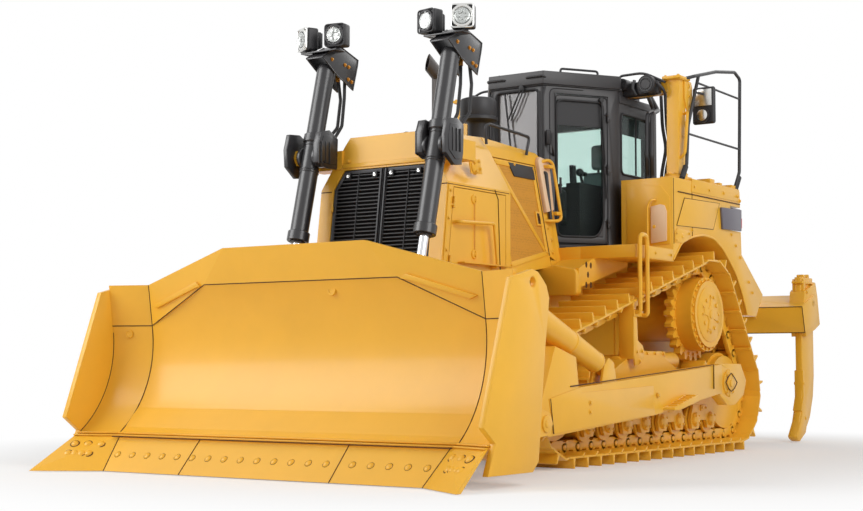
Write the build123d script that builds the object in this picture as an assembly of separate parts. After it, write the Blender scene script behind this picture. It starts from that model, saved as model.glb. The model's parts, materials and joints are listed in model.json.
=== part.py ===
from build123d import *
import math
import os

# A large track-type dozer with elevated sprockets, a semi-U blade and a three-shank ripper.
# Millimetres. x is the distance ahead of the middle of the ground run, y is to the machine's left,
# z is the height above the grouser tips. The finished model is moved along x at the end, so that
# its box is centred on the origin.

# ---------------------------------------------------------------- driving dimensions: tracks
GAUGE = 2082.0
SHOE_WIDTH = 560.0
LINKS = 44
IDLER_X = 1603.0
IDLER_PITCH_R = 404.0
SPROCKET_X = -1070.0
SPROCKET_Z = 1286.0
SPROCKET_PITCH_R = 430.0
SPROCKET_TEETH = 25
GROUSER_TIP = 154.0        # heights of the chain's parts, outwards from its pitch line
SHOE_FACE = 76.0
SHOE_BACK = 60.0
RAIL_FACE = -58.0
GROUSER_THICK = 22.0
GROUSER_PHASE = 0.72       # share of a link from the end of the ground run to the first grouser
RAIL_NEAR = 60.0           # the link rails, from the track's middle plane
RAIL_WIDTH = 55.0
SEAT = 0.3                 # clearance where a curved face rests on another

ROLLERS = 8
ROLLER_PITCH = 330.0
ROLLER_R = 104.7
ROLLER_FLANGE_R = 128.0
FRAME_HALF = 185.0         # roller frame, from the track's middle plane
FRAME_LOW = 452.0
FRAME_HIGH = 760.0
BOGIE_NEAR = 150.0
BOGIE_THICK = 30.0
BOGIE_LOW = 232.0
FORK_NEAR = 135.0
FORK_THICK = 40.0

DRUM_R = 345.0             # final drives
DRUM_FACE = 1235.0
HUB_R = 310.0
HUB_FACE = 1262.0
AXLE_HOUSING_R = 250.0
SPROCKET_THICK = 70.0

# ---------------------------------------------------------------- chassis
RAIL_IN = 360.0            # main frame rails, from the machine's middle
RAIL_OUT = 500.0
RAIL_LOW = 760.0
RAIL_HIGH = 1250.0
FRAME_REAR = -1950.0
FRAME_FRONT = 2230.0
BELLY = 700.0

# ---------------------------------------------------------------- radiator guard and hood
LEAN = 0.1256              # the grille plane moves this far back for each millimetre up
GUARD_FOOT_X = 2435.0      # front of the guard at its foot
GUARD_FOOT_Z = 1280.0
GUARD_REAR = 1400.0
GUARD_HALF = 630.0
GUARD_SHOULDER = 2240.0
GUARD_TOP_HALF = 420.0
GUARD_TOP = 2665.0
GUARD_WALL = 60.0
GRILLE_HALF = 500.0
GRILLE_LOW = 1360.0
GRILLE_SHOULDER = 2240.0
GRILLE_TOP_HALF = 405.0
GRILLE_TOP = 2395.0
LEAF = 40.0                # thickness of doors and grilles
GAP = 6.0                  # working gap round a door
HOOD_REAR = 450.0
HOOD_CREST = 2720.0
HOOD_REAR_TOP = 2640.0
HOOD_HALF_LOW = 605.0
HOOD_HALF_HIGH = 385.0
HOOD_LOW_FRONT = 1545.0
HOOD_LOW_REAR = 1690.0
HOOD_SHEET = 40.0
DOOR_REAR = 640.0          # rear edge of the engine doors
DOOR_FRONT_GAP = 14.0      # from the engine door's front edge to the guard
DOOR_TOP = 2560.0

# ---------------------------------------------------------------- cab
CAB_FLOOR = 1860.0
CAB_WALL = 60.0
CAB_NOSE_X = 285.0         # plan of the cab: nose corner, door's rear corner, back corner
CAB_NOSE_Y = 280.0
CAB_SIDE_X = -340.0
CAB_SIDE_Y = 700.0
CAB_BACK_X = -1120.0
CAB_EAVES = 3350.0
CAB_ROOF = 3470.0
CAB_REAR_EAVES = 3230.0
CAB_REAR_ROOF = 3300.0
DOOR_START = 112.0         # along the angled wall, from the nose corner
DOOR_WIDTH = 540.0
CAB_DOOR_LOW = 1905.0
CAB_DOOR_HIGH = 3275.0

# ---------------------------------------------------------------- fenders, tank, roll-over frame
PLATFORM_TOP = 1840.0
PLATFORM_THICK = 110.0
PLATFORM_FRONT = 470.0
FENDER_IN = 780.0
FENDER_OUT = 1300.0
FENDER_FRONT = -250.0
FENDER_REAR = -1700.0
FENDER_TOP = 2490.0
TANK_FRONT = -1150.0
TANK_HALF_LOW = 730.0

ROPS_Y = 1165.0
ROPS_WIDTH = 120.0
ROPS_TOP = 3456.0

# ---------------------------------------------------------------- blade and push arms
TRUNNION_X = -920.0
TRUNNION_Z = 648.0
TRUNNION_R = 70.0
ARM_IN = 1370.0
ARM_OUT = 1530.0
ARM_PIN_X = 2410.0
ARM_PIN_Z = 380.0
ARM_PIN_R = 50.0
BLADE_CLEAR = 6.0          # cutting edge above the ground
MOLD_R = 861.0             # moldboard's concave face
MOLD_X = 4099.5
MOLD_Z = 973.0
MOLD_PLATE = 32.0
MOLD_FOOT = 262.0
FOLD_Y = 1600.0            # where the wings start
WING_FORWARD = 120.0       # how far the wings lead at their outer ends
END_PLATE_IN = 1925.0
END_PLATE_THICK = 45.0
BLADE_HALF = END_PLATE_IN + END_PLATE_THICK
CROWN_X = 3436.0           # flat top of the spill plate
CROWN_Y = 679.0
CROWN_Z = 1699.0
BREAK_Y = 928.0
BREAK_Z = 1429.0
FOLD_TOP_Z = 1125.0
SHOULDER_Z = 1450.0
EDGE_X = 3847.0
EDGE_JOINT_Y = 1493.0
CENTRE_EDGE_Y = 707.0
EDGE_SLANT = 71.0          # the edge ends this much further out at its top
EDGE_BACK = 46.0           # the edge measured along the ground
TIP_X = 4155.0
TIP_Y = 1972.0
LIFT_HOLE_R = 38.0
LIFT_HOLE_X = 3235.0
LIFT_HOLE_Z = 1368.0

# ---------------------------------------------------------------- lift cylinders
LIFT_Y = 627.0
YOKE_X = 2450.0
YOKE_Z = 2500.0
LIFT_EYE_X = 2880.0
LIFT_EYE_Z = 700.0
BARREL_R = 75.0
BARREL_BORE_R = 60.0
BARREL_BELOW = 720.0
BARREL_ABOVE = 800.0
LIFT_ROD_R = 38.0
LIFT_ROD_INSIDE = 500.0
PIN_PLAY = 0.5
LAMP_X = 2325.0
LAMP_Z = 3512.0
LAMP_SPREAD = 158.0        # lamps, from the cylinder's middle plane

# ---------------------------------------------------------------- tilt cylinders
TILT_Y = 1450.0
TILT_LOW_X = 1330.0
TILT_LOW_Z = 790.0
TILT_HIGH_X = 3020.0
TILT_HIGH_Z = 1400.0
TILT_TUBE_LENGTH = 1230.0
TILT_ROD_R = 42.0

# ---------------------------------------------------------------- door hinges
HINGE_R = 12.0
HINGE_PIN_R = 7.0
HINGE_LENGTH = 45.0        # of each knuckle
HINGE_STAND = 14.0         # from the door's face out to the hinge pin
HINGE_STRAP = 30.0         # from the pin along the door or its frame
STRAP_R = 8.0

# ---------------------------------------------------------------- ripper
LINK_FRONT_X = -2280.0
LINK_FRONT_Z = 860.0
LINK_REAR_X = -3360.0
LINK_REAR_Z = 1060.0
LINK_RISE = 450.0          # from the lower pins to the upper pins
LINK_Y = 430.0
TILT_RIPPER_Y = 250.0
RIPPER_CYL_Y = 620.0
RIPPER_CYL_LOW = 480.0
BEAM_HALF = 1232.0
SHANK_Y = 1120.0
SHANK_THICK = 76.0
SHANK_TIP_CLEAR = 8.0
HITCH_X = -2400.0          # hole of the rear hitch plate
HITCH_Z = 600.0
HITCH_THICK = 60.0
HITCH_R = 32.0


# ================================================================ helpers
def corners(points, y):
    return [Vector(x, y, z) for x, z in points]


def polygon(vectors, direction):
    """Flat outline pushed along a direction."""
    return Solid.extrude(Face(Wire.make_polygon(vectors)), Vector(*direction))


def plate(points, y0, y1):
    """Side-view outline of (x, z) pairs, between two distances from the middle."""
    return polygon(corners(points, y0), (0, y1 - y0, 0))


def section(points, x0, x1):
    """Front-view outline of (y, z) pairs, between two stations."""
    return polygon([Vector(x0, y, z) for y, z in points], (x1 - x0, 0, 0))


def floor_plan(points, z0, z1):
    """Plan outline of (x, y) pairs, between two heights."""
    return polygon([Vector(x, y, z0) for x, y in points], (0, 0, z1 - z0))


def block(x0, x1, y0, y1, z0, z1):
    return Pos(x0, y0, z0) * Box(x1 - x0, y1 - y0, z1 - z0, align=(Align.MIN, Align.MIN, Align.MIN))


def bar(start, end, radius):
    """Round bar between two points."""
    a, b = Vector(*start), Vector(*end)
    return Solid.make_cylinder(radius, (b - a).length, Plane(origin=a, z_dir=b - a))


def cross_bar(x, z, y0, y1, radius):
    """Round bar across the machine."""
    return bar((x, y0, z), (x, y1, z), radius)


def cone(start, end, start_r, end_r):
    a, b = Vector(*start), Vector(*end)
    return Solid.make_cone(start_r, end_r, (b - a).length, Plane(origin=a, z_dir=b - a))


def pipe(points, radius, bend):
    """Bent handrail through the given points."""
    path = FilletPolyline(*points, radius=bend)
    return sweep(Plane(path @ 0, z_dir=path % 0) * Circle(radius), path=path)


def mirrored(shape):
    return mirror(shape, about=Plane.XZ)


def both(*shapes):
    """The shapes and their mirror images on the machine's right side."""
    return list(shapes) + [mirrored(shape) for shape in shapes]


def symmetric(points):
    """Closed front-view outline from its left half, given from the foot to the top."""
    return points + [(-y, z) for y, z in reversed(points)]


def hinge_halves(origin, axis, stations, out, away):
    """Hinges on one axis: the fixed halves with their pins, and the swinging halves.

    out leads from the door's face to the outside, and away from the door to its frame.
    """
    axis, out, away = [Vector(*v).normalized() for v in (axis, out, away)]
    into = out * -(HINGE_STAND + 8)
    fixed = []
    swinging = []
    for station in stations:
        foot = Vector(*origin) + axis * station
        middle = foot + axis * HINGE_LENGTH
        top = middle + axis * HINGE_LENGTH
        low = foot + axis * (HINGE_LENGTH / 2)
        high = middle + axis * (HINGE_LENGTH / 2)
        knuckle = bar(foot, middle, HINGE_R) + bar(foot, top, HINGE_PIN_R)
        fixed.append(knuckle + bar(low, low + away * HINGE_STRAP + into, STRAP_R))
        leaf = bar(middle + axis * SEAT, top, HINGE_R) + bar(high, high - away * HINGE_STRAP + into, STRAP_R)
        swinging.append(leaf - bar(foot, top + axis, HINGE_PIN_R + PIN_PLAY))
    return fixed, swinging


def fuse(first, others):
    for other in others:
        first = first + other
    return first


NODES = {}


def put(name, *shapes):
    solids = []
    for shape in shapes:
        solids.extend(shape.solids())
    NODES[name] = solids


# ================================================================ track loop
IDLER_Z = IDLER_PITCH_R + GROUSER_TIP
LOOP = [  # centre x, centre z, pitch radius; counter-clockwise, seen with +x to the right
    (-IDLER_X, IDLER_Z, IDLER_PITCH_R),
    (IDLER_X, IDLER_Z, IDLER_PITCH_R),
    (SPROCKET_X, SPROCKET_Z, SPROCKET_PITCH_R),
]


def loop_normals():
    """Outward angle of each straight run of the chain."""
    angles = []
    for i, (x0, z0, r0) in enumerate(LOOP):
        x1, z1, r1 = LOOP[(i + 1) % len(LOOP)]
        run = math.atan2(z1 - z0, x1 - x0)
        angles.append(run - math.acos((r0 - r1) / math.hypot(x1 - x0, z1 - z0)))
    return angles


def loop_pieces():
    """The chain's arcs and runs: (centre, radius, start angle, sweep) then (start, end, normal)."""
    normals = loop_normals()
    pieces = []
    for i, (x, z, r) in enumerate(LOOP):
        start = normals[i - 1]
        turn = (normals[i] - start) % (2 * math.pi)
        pieces.append(((x, z), r, start, turn))
    return pieces


def loop_face(offset, y):
    """Face inside the chain's line, moved outwards by the offset."""
    edges = []
    ends = []
    for (x, z), r, start, turn in loop_pieces():
        def at(angle, x=x, z=z, reach=r + offset):
            return Vector(x + reach * math.cos(angle), y, z + reach * math.sin(angle))
        edges.append(Edge.make_three_point_arc(at(start), at(start + turn / 2), at(start + turn)))
        ends.append((at(start), at(start + turn)))
    for i in range(len(ends)):
        edges.append(Edge.make_line(ends[i][1], ends[(i + 1) % len(ends)][0]))
    return Face(Wire(edges))


def loop_length():
    total = 0.0
    pieces = loop_pieces()
    for i, ((x, z), r, start, turn) in enumerate(pieces):
        (x1, z1), r1, _, _ = pieces[(i + 1) % len(pieces)]
        total += r * turn + math.sqrt((x1 - x) ** 2 + (z1 - z) ** 2 - (r1 - r) ** 2)
    return total


def loop_station(distance):
    """Point and outward angle at a distance along the chain, from the start of the ground run."""
    pieces = loop_pieces()
    count = len(pieces)
    for step in range(count):
        (x, z), r, start, turn = pieces[step]
        (x1, z1), r1, start1, turn1 = pieces[(step + 1) % count]
        angle = start + turn
        run = math.sqrt((x1 - x) ** 2 + (z1 - z) ** 2 - (r1 - r) ** 2)
        if distance <= run:
            return (x + r * math.cos(angle) - distance * math.sin(angle),
                    z + r * math.sin(angle) + distance * math.cos(angle), angle)
        distance -= run
        if distance <= r1 * turn1:
            angle = start1 + distance / r1
            return x1 + r1 * math.cos(angle), z1 + r1 * math.sin(angle), angle
        distance -= r1 * turn1
    return loop_station(distance)


TRACK_Y = GAUGE / 2
LINK_PITCH = loop_length() / LINKS


def ring(outer, inner, y0, y1):
    along = Vector(0, y1 - y0, 0)
    return Solid.extrude(loop_face(outer, y0), along) - Solid.extrude(loop_face(inner, y0), along)


def track():
    half = SHOE_WIDTH / 2
    loop = ring(SHOE_FACE, SHOE_BACK, TRACK_Y - half, TRACK_Y + half)
    for side in (-1, 1):
        near = TRACK_Y + side * RAIL_NEAR
        far = TRACK_Y + side * (RAIL_NEAR + RAIL_WIDTH)
        loop = loop + ring(SHOE_BACK + 1, RAIL_FACE, min(near, far), max(near, far))
    grousers = []
    for link in range(LINKS):
        x, z, angle = loop_station((link + GROUSER_PHASE) * LINK_PITCH % loop_length())
        reach = (SHOE_BACK + GROUSER_TIP) / 2 + 4
        height = GROUSER_TIP - SHOE_BACK - 8
        centre = Pos(x + reach * math.cos(angle), TRACK_Y, z + reach * math.sin(angle))
        turn = Rot(0, -math.degrees(angle), 0)
        grousers.append(centre * turn * Box(height, SHOE_WIDTH, GROUSER_THICK))
    return loop + grousers


def sprocket():
    tip = SPROCKET_PITCH_R + 12
    root = SPROCKET_PITCH_R - 36
    step = 2 * math.pi / SPROCKET_TEETH
    points = []
    for tooth in range(SPROCKET_TEETH):
        middle = tooth * step
        for share, radius in ((-0.34, root), (-0.14, tip), (0.14, tip), (0.34, root)):
            angle = middle + share * step
            points.append((SPROCKET_X + radius * math.cos(angle), SPROCKET_Z + radius * math.sin(angle)))
    return plate(points, TRACK_Y - SPROCKET_THICK / 2, TRACK_Y + SPROCKET_THICK / 2)


def final_drive():
    outer = cross_bar(SPROCKET_X, SPROCKET_Z, TRACK_Y + SPROCKET_THICK / 2, DRUM_FACE, DRUM_R)
    outer = outer + cross_bar(SPROCKET_X, SPROCKET_Z, DRUM_FACE, HUB_FACE, HUB_R)
    inner = cross_bar(SPROCKET_X, SPROCKET_Z, CASE_HALF, TRACK_Y - SPROCKET_THICK / 2, AXLE_HOUSING_R)
    return outer, inner


def idler(x):
    wheel = cross_bar(x, IDLER_Z, TRACK_Y - RAIL_NEAR + 3, TRACK_Y + RAIL_NEAR - 3, IDLER_PITCH_R - 29)
    tread = IDLER_PITCH_R + RAIL_FACE - SEAT
    reach = RAIL_NEAR + RAIL_WIDTH
    wheel = wheel + cross_bar(x, IDLER_Z, TRACK_Y - reach, TRACK_Y + reach, tread)
    hub = FORK_NEAR - SEAT
    return wheel + cross_bar(x, IDLER_Z, TRACK_Y - hub, TRACK_Y + hub, 110)


def roller_frame():
    nose = IDLER_X - IDLER_PITCH_R - 10
    body = plate([(-nose, FRAME_LOW), (nose, FRAME_LOW), (nose, 690), (760, FRAME_HIGH), (420, 900),
                  (-150, 900), (-480, FRAME_HIGH), (-nose, FRAME_HIGH - 30)],
                 TRACK_Y - FRAME_HALF, TRACK_Y + FRAME_HALF)
    for side in (-1, 1):
        near = TRACK_Y + side * FORK_NEAR
        far = TRACK_Y + side * (FORK_NEAR + FORK_THICK)
        for end in (-1, 1):
            outline = [(end * (nose - 60), FRAME_LOW + 30), (end * (IDLER_X + 60), FRAME_LOW + 40),
                       (end * (IDLER_X + 90), IDLER_Z + 40), (end * (IDLER_X + 40), IDLER_Z + 90),
                       (end * (nose - 60), IDLER_Z + 110)]
            body = body + plate(outline, min(near, far), max(near, far))
    side_face = TRACK_Y + FRAME_HALF
    body = body + cross_bar(TRUNNION_X, TRUNNION_Z, side_face, ARM_IN - 12, TRUNNION_R + 30)
    return body + cross_bar(TRUNNION_X, TRUNNION_Z, side_face, ARM_OUT - 32, TRUNNION_R)


def rollers():
    pieces = []
    z = GROUSER_TIP - RAIL_FACE + SEAT + ROLLER_R
    first = -(ROLLERS - 1) / 2 * ROLLER_PITCH
    reach = RAIL_NEAR + RAIL_WIDTH + 3
    for i in range(ROLLERS):
        x = first + i * ROLLER_PITCH
        wheel = cross_bar(x, z, TRACK_Y - reach, TRACK_Y + reach, ROLLER_R)
        for side in (-1, 1):
            y0 = TRACK_Y + side * reach
            y1 = TRACK_Y + side * (reach + 22)
            wheel = wheel + cross_bar(x, z, min(y0, y1), max(y0, y1), ROLLER_FLANGE_R)
            y2 = TRACK_Y + side * BOGIE_NEAR
            wheel = wheel + cross_bar(x, z, min(y1, y2), max(y1, y2), 60)
        pieces.append(wheel)
    return pieces


def bogies():
    """Side plates that carry the rollers in pairs under the roller frame."""
    pieces = []
    z = GROUSER_TIP - RAIL_FACE + SEAT + ROLLER_R
    first = -(ROLLERS - 1) / 2 * ROLLER_PITCH
    for pair in range(ROLLERS // 2):
        front = first + (2 * pair + 1) * ROLLER_PITCH
        rear = front - ROLLER_PITCH
        outline = [(rear - 70, BOGIE_LOW), (rear + 70, BOGIE_LOW), (rear + 105, z - 10),
                   (front - 105, z - 10), (front - 70, BOGIE_LOW), (front + 70, BOGIE_LOW),
                   (front + 95, z), (front + 40, FRAME_LOW), (rear - 40, FRAME_LOW), (rear - 95, z)]
        for side in (-1, 1):
            y0 = TRACK_Y + side * BOGIE_NEAR
            y1 = TRACK_Y + side * (BOGIE_NEAR + BOGIE_THICK)
            pieces.append(plate(outline, min(y0, y1), max(y0, y1)))
    return pieces


CASE_HALF = 520.0          # rear transmission case, from the middle
CASE_TOP = 1740.0

for side_name, side_of in (("left", lambda s: s), ("right", mirrored)):
    put("track_" + side_name, side_of(track()))
    put("roller_frame_" + side_name, side_of(roller_frame()))
    put("rollers_" + side_name, *[side_of(piece) for piece in rollers() + bogies()])
put("idlers", *both(idler(IDLER_X), idler(-IDLER_X)))
put("sprockets", *both(sprocket()))
put("final_drives", *both(*final_drive()))


# ================================================================ chassis
def front_plane(z, back=0.0):
    """Station of the leaning grille plane at a height."""
    return GUARD_FOOT_X - (z - GUARD_FOOT_Z) * LEAN - back


def hood_foot(x):
    """Height of the hood's lower edge."""
    return HOOD_LOW_REAR + (HOOD_LOW_FRONT - HOOD_LOW_REAR) * (x - HOOD_REAR) / (GUARD_REAR - HOOD_REAR)


def main_frame():
    frame = block(FRAME_REAR, -600, -CASE_HALF, CASE_HALF, RAIL_LOW, CASE_TOP)
    for side in (-1, 1):
        y0, y1 = sorted((side * RAIL_IN, side * RAIL_OUT))
        frame = frame + block(-700, FRAME_FRONT, y0, y1, RAIL_LOW, RAIL_HIGH)
        y0, y1 = sorted((side * 470, side * 600))
        frame = frame + plate([(-700, 1300), (180, 1300), (180, 1500), (120, 1730), (-700, 1730)], y0, y1)
        y0, y1 = sorted((side * 590, side * 905))
        frame = frame + plate([(-130, 1690), (700, 1475), (750, 1475), (750, 1632), (500, 1730),
                               (-130, 1730)], y0, y1)
        y0, y1 = sorted((side * 440, side * 600))
        frame = frame + plate([(100, RAIL_HIGH - 60), (720, RAIL_HIGH - 60), (740, 1635), (DOOR_REAR, 1635),
                               (DOOR_REAR - 6, hood_foot(DOOR_REAR - 6) - SEAT), (HOOD_REAR - 2,
                               hood_foot(HOOD_REAR) - SEAT), (HOOD_REAR - 8, 1725), (100, 1725)], y0, y1)
    frame = frame + block(1950, FRAME_FRONT, -RAIL_OUT, RAIL_OUT, RAIL_LOW, RAIL_HIGH)
    frame = frame + block(350, 500, -RAIL_OUT, RAIL_OUT, RAIL_LOW, RAIL_HIGH - 100)
    frame = frame + block(-800, FRAME_FRONT - 80, -RAIL_OUT + 20, RAIL_OUT - 20, BELLY, RAIL_LOW)
    # floor supports under the cab
    frame = frame + block(-1060, -860, -560, 560, 1740, CAB_FLOOR)
    frame = frame + block(0, 150, -300, 300, 1700, CAB_FLOOR)
    frame = frame + block(0, 150, -600, 600, 1640, 1725)
    # pivot shaft that carries the roller frames, and the equaliser bar ahead of it
    pivot = cross_bar(140, 820, -(TRACK_Y - FRAME_HALF), TRACK_Y - FRAME_HALF, 75)
    beam = plate([(1290, 640), (1450, 640), (1450, 760), (1290, 760)], -(TRACK_Y - FRAME_HALF),
                 TRACK_Y - FRAME_HALF)
    return frame + pivot + beam


put("main_frame", main_frame())
put("engine_block", block(520, 1360, -300, 300, RAIL_HIGH, 2380)
    + block(560, 1240, -RAIL_IN, RAIL_IN, RAIL_HIGH - 250, RAIL_HIGH))


# ================================================================ radiator guard
def guard_envelope(inset):
    outline = symmetric([(GUARD_HALF - inset, GUARD_FOOT_Z - 40), (GUARD_HALF - inset, GUARD_SHOULDER),
                         (GUARD_TOP_HALF - inset * 0.8, GUARD_TOP - 65 - inset * 0.6),
                         (GUARD_TOP_HALF - 90 - inset * 0.5, GUARD_TOP + 60)])
    side = [(GUARD_REAR, RAIL_HIGH), (front_plane(RAIL_HIGH, inset), RAIL_HIGH),
            (front_plane(GUARD_TOP, inset), GUARD_TOP - inset), (GUARD_REAR, HOOD_CREST - inset)]
    return section(outline, GUARD_REAR, GUARD_FOOT_X + 20) & plate(side, -GUARD_HALF, GUARD_HALF)


def grille_opening(half, low, top_half, top, grow, depth0, depth1):
    outline = symmetric([(half + grow, low - grow), (half + grow, GRILLE_SHOULDER),
                         (top_half + grow, top + grow)])
    side = [(front_plane(low - 20, depth1), low - 20), (front_plane(low - 20, depth0), low - 20),
            (front_plane(top + 20, depth0), top + 20), (front_plane(top + 20, depth1), top + 20)]
    return section(outline, GUARD_REAR + 300, GUARD_FOOT_X + 60) & plate(side, -GUARD_HALF, GUARD_HALF)


SIDE_DOOR_LOW = 1500.0
SIDE_DOOR_HIGH = 2205.0
SIDE_DOOR_REAR = 1470.0
SIDE_DOOR_INSET = 90.0     # from the guard's front plane to the door's front edge


def side_door(y0, y1, gap):
    outline = [(SIDE_DOOR_REAR + gap, SIDE_DOOR_LOW + gap),
               (front_plane(SIDE_DOOR_LOW, SIDE_DOOR_INSET + gap), SIDE_DOOR_LOW + gap),
               (front_plane(SIDE_DOOR_HIGH, SIDE_DOOR_INSET + gap), SIDE_DOOR_HIGH - gap),
               (SIDE_DOOR_REAR + gap, SIDE_DOOR_HIGH - gap)]
    return plate(outline, y0, y1)


YOKE_CHEEKS = ((490.0, 520.0), (734.0, 764.0))

# hinge axes of the left doors: a point, the axis, the way out and the way to the frame
GRILLE_HINGE = ((front_plane(GRILLE_LOW, 2 - HINGE_STAND), GRILLE_HALF - GAP, GRILLE_LOW), (-LEAN, 0, 1),
                (1, 0, LEAN), (0, 1, 0))
GUARD_DOOR_HINGE = ((front_plane(SIDE_DOOR_LOW, SIDE_DOOR_INSET + GAP), GUARD_HALF + HINGE_STAND, SIDE_DOOR_LOW),
                    (-LEAN, 0, 1), (0, 1, 0), (1, 0, LEAN))
HOOD_SIDE = (HOOD_HALF_HIGH - HOOD_HALF_LOW, HOOD_CREST - 75 - HOOD_LOW_FRONT + 60)
HOOD_TILT = HOOD_SIDE[0] / HOOD_SIDE[1]
ENGINE_HINGE = ((GUARD_REAR - DOOR_FRONT_GAP, HOOD_HALF_LOW + HINGE_STAND, HOOD_LOW_FRONT - 60), (0, HOOD_TILT, 1),
                (0, 1, -HOOD_TILT), (1, 0, 0))
grille_fixed, grille_swinging = hinge_halves(*GRILLE_HINGE[:2], (90, 700), *GRILLE_HINGE[2:])
guard_fixed, guard_swinging = hinge_halves(*GUARD_DOOR_HINGE[:2], (70, 540), *GUARD_DOOR_HINGE[2:])
engine_fixed, engine_swinging = hinge_halves(*ENGINE_HINGE[:2], (220, 880), *ENGINE_HINGE[2:])


def radiator_guard():
    hollow = guard_envelope(GUARD_WALL) & block(GUARD_REAR + GUARD_WALL, GUARD_FOOT_X, -GUARD_HALF, GUARD_HALF,
                                                GRILLE_LOW - 20, GUARD_TOP + 60)
    shell = guard_envelope(0) - hollow
    shell = shell - block(GUARD_REAR - 1, GUARD_REAR + GUARD_WALL + 1, -400, 400, GRILLE_LOW, 2300)
    shell = shell - grille_opening(GRILLE_HALF, GRILLE_LOW, GRILLE_TOP_HALF, GRILLE_TOP, 0, -20, 200)
    for sign in (-1, 1):
        y0, y1 = sorted((sign * (GUARD_HALF - GUARD_WALL - 5), sign * (GUARD_HALF + 1)))
        shell = shell - side_door(y0, y1, 0)
        y0, y1 = sorted((sign * 430, sign * YOKE_CHEEKS[1][1]))
        arm = block(YOKE_X - 330, YOKE_X - 150, y0, y1, YOKE_Z - 95, YOKE_Z + 60)
        for inner, outer in YOKE_CHEEKS:
            c0, c1 = sorted((sign * inner, sign * outer))
            cheek = plate([(YOKE_X - 200, YOKE_Z - 95), (YOKE_X - 110, YOKE_Z - 62), (YOKE_X + 30, YOKE_Z - 60),
                           (YOKE_X + 65, YOKE_Z), (YOKE_X + 40, YOKE_Z + 60), (YOKE_X - 200, YOKE_Z + 60)],
                          c0, c1)
            arm = arm + cheek - cross_bar(YOKE_X, YOKE_Z, c0, c1, 35 + PIN_PLAY)
        shell = shell + (arm - guard_envelope(1))
    return fuse(shell, both(*grille_fixed, *guard_fixed, *engine_fixed))


def grille_door():
    """Left grille leaf: a frame with horizontal bars."""
    outline = [(GAP / 2, GRILLE_LOW + GAP), (GRILLE_HALF - GAP, GRILLE_LOW + GAP),
               (GRILLE_HALF - GAP, GRILLE_SHOULDER - 3), (GRILLE_TOP_HALF - GAP, GRILLE_TOP - GAP),
               (GAP / 2, GRILLE_TOP - GAP)]
    rim = 38
    inner = [(GAP / 2 + rim, GRILLE_LOW + rim), (GRILLE_HALF - rim, GRILLE_LOW + rim),
             (GRILLE_HALF - rim, GRILLE_SHOULDER - 18), (GRILLE_TOP_HALF - rim + 10, GRILLE_TOP - rim),
             (GAP / 2 + rim, GRILLE_TOP - rim)]
    side = [(front_plane(1300, LEAF + 2), 1300), (front_plane(1300, 2), 1300), (front_plane(2500, 2), 2500),
            (front_plane(2500, LEAF + 2), 2500)]
    slab = plate(side, 0, GRILLE_HALF)
    leaf = (section(outline, 2100, 2500) & slab) - section(inner, 2050, 2550)
    bars = 18
    pitch = (GRILLE_TOP - GRILLE_LOW - 2 * rim) / bars
    wide = section(inner, 2050, 2550)
    for i in range(bars):
        z = GRILLE_LOW + rim + (i + 0.5) * pitch
        x = front_plane(z, LEAF / 2 + 2)
        louvre = block(x - 14, x + 14, GAP / 2 + 10, GRILLE_HALF - 10, z - 7, z + 7)
        leaf = leaf + (louvre & section(outline, 2050, 2550))
    mullion = block(2050, 2550, 240, 256, GRILLE_LOW + 10, GRILLE_TOP - 10) & wide & slab
    return fuse(leaf + mullion, grille_swinging)


put("radiator_guard", radiator_guard())
put("radiator_core", block(1640, 2080, -520, 520, GRILLE_LOW - 20 + SEAT, 2290))
GRILLE_LEFT = grille_door()
put("grille_door_left", GRILLE_LEFT)
put("grille_door_right", mirrored(GRILLE_LEFT))


def radiator_side_door():
    door = side_door(GUARD_HALF - LEAF, GUARD_HALF, GAP)
    rail_y = GUARD_HALF + 62
    rail = pipe([(2225, GUARD_HALF - 5, 1925), (2225, rail_y, 1925), (1740, rail_y, 1945),
                 (1690, rail_y, 1600), (1690, GUARD_HALF - 5, 1600)], 14, 30)
    return fuse(door + rail, guard_swinging)


put("radiator_door_left", radiator_side_door())
put("radiator_door_right", mirrored(radiator_side_door()))


# ================================================================ hood and engine doors
def hood_envelope(inset):
    """Tapered hood: narrow on top, wide at the bottom."""
    outline = symmetric([(HOOD_HALF_LOW - inset, HOOD_LOW_FRONT - 60),
                         (HOOD_HALF_HIGH - inset, HOOD_CREST - 75 - inset * 0.3),
                         (HOOD_HALF_HIGH - 80 - inset * 0.5, HOOD_CREST + 60)])
    side = [(HOOD_REAR, hood_foot(HOOD_REAR)), (GUARD_REAR - SEAT, hood_foot(GUARD_REAR - SEAT)),
            (GUARD_REAR - SEAT, HOOD_CREST - inset),
            (HOOD_REAR + 120, HOOD_REAR_TOP + 35 - inset), (HOOD_REAR, HOOD_REAR_TOP - 90 - inset)]
    return section(outline, HOOD_REAR, GUARD_REAR) & plate(side, -HOOD_HALF_LOW, HOOD_HALF_LOW)


def engine_door(gap, y_in):
    """Region of the left engine door, with a gap round it, wider above because the door rises as it opens."""
    front = GUARD_REAR - DOOR_FRONT_GAP if gap else GUARD_REAR + 1
    outline = [(DOOR_REAR + gap, HOOD_LOW_REAR - 90), (front, HOOD_LOW_FRONT - 80),
               (front, DOOR_TOP - 2.5 * gap), (DOOR_REAR + gap, DOOR_TOP - 2.5 * gap)]
    return plate(outline, y_in, HOOD_HALF_LOW + 10)


def hood():
    shell = hood_envelope(0) - hood_envelope(HOOD_SHEET)
    for region in both(engine_door(0, 250)):
        shell = shell - region
    shell = shell - block(HOOD_REAR + 90, GUARD_REAR, -560, 560, 1400, 2300)
    return shell


put("hood", hood())
ENGINE_DOOR = fuse((hood_envelope(0) - hood_envelope(HOOD_SHEET)) & engine_door(GAP, 250), engine_swinging)
put("engine_door_left", ENGINE_DOOR)
put("engine_door_right", mirrored(ENGINE_DOOR))

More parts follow.
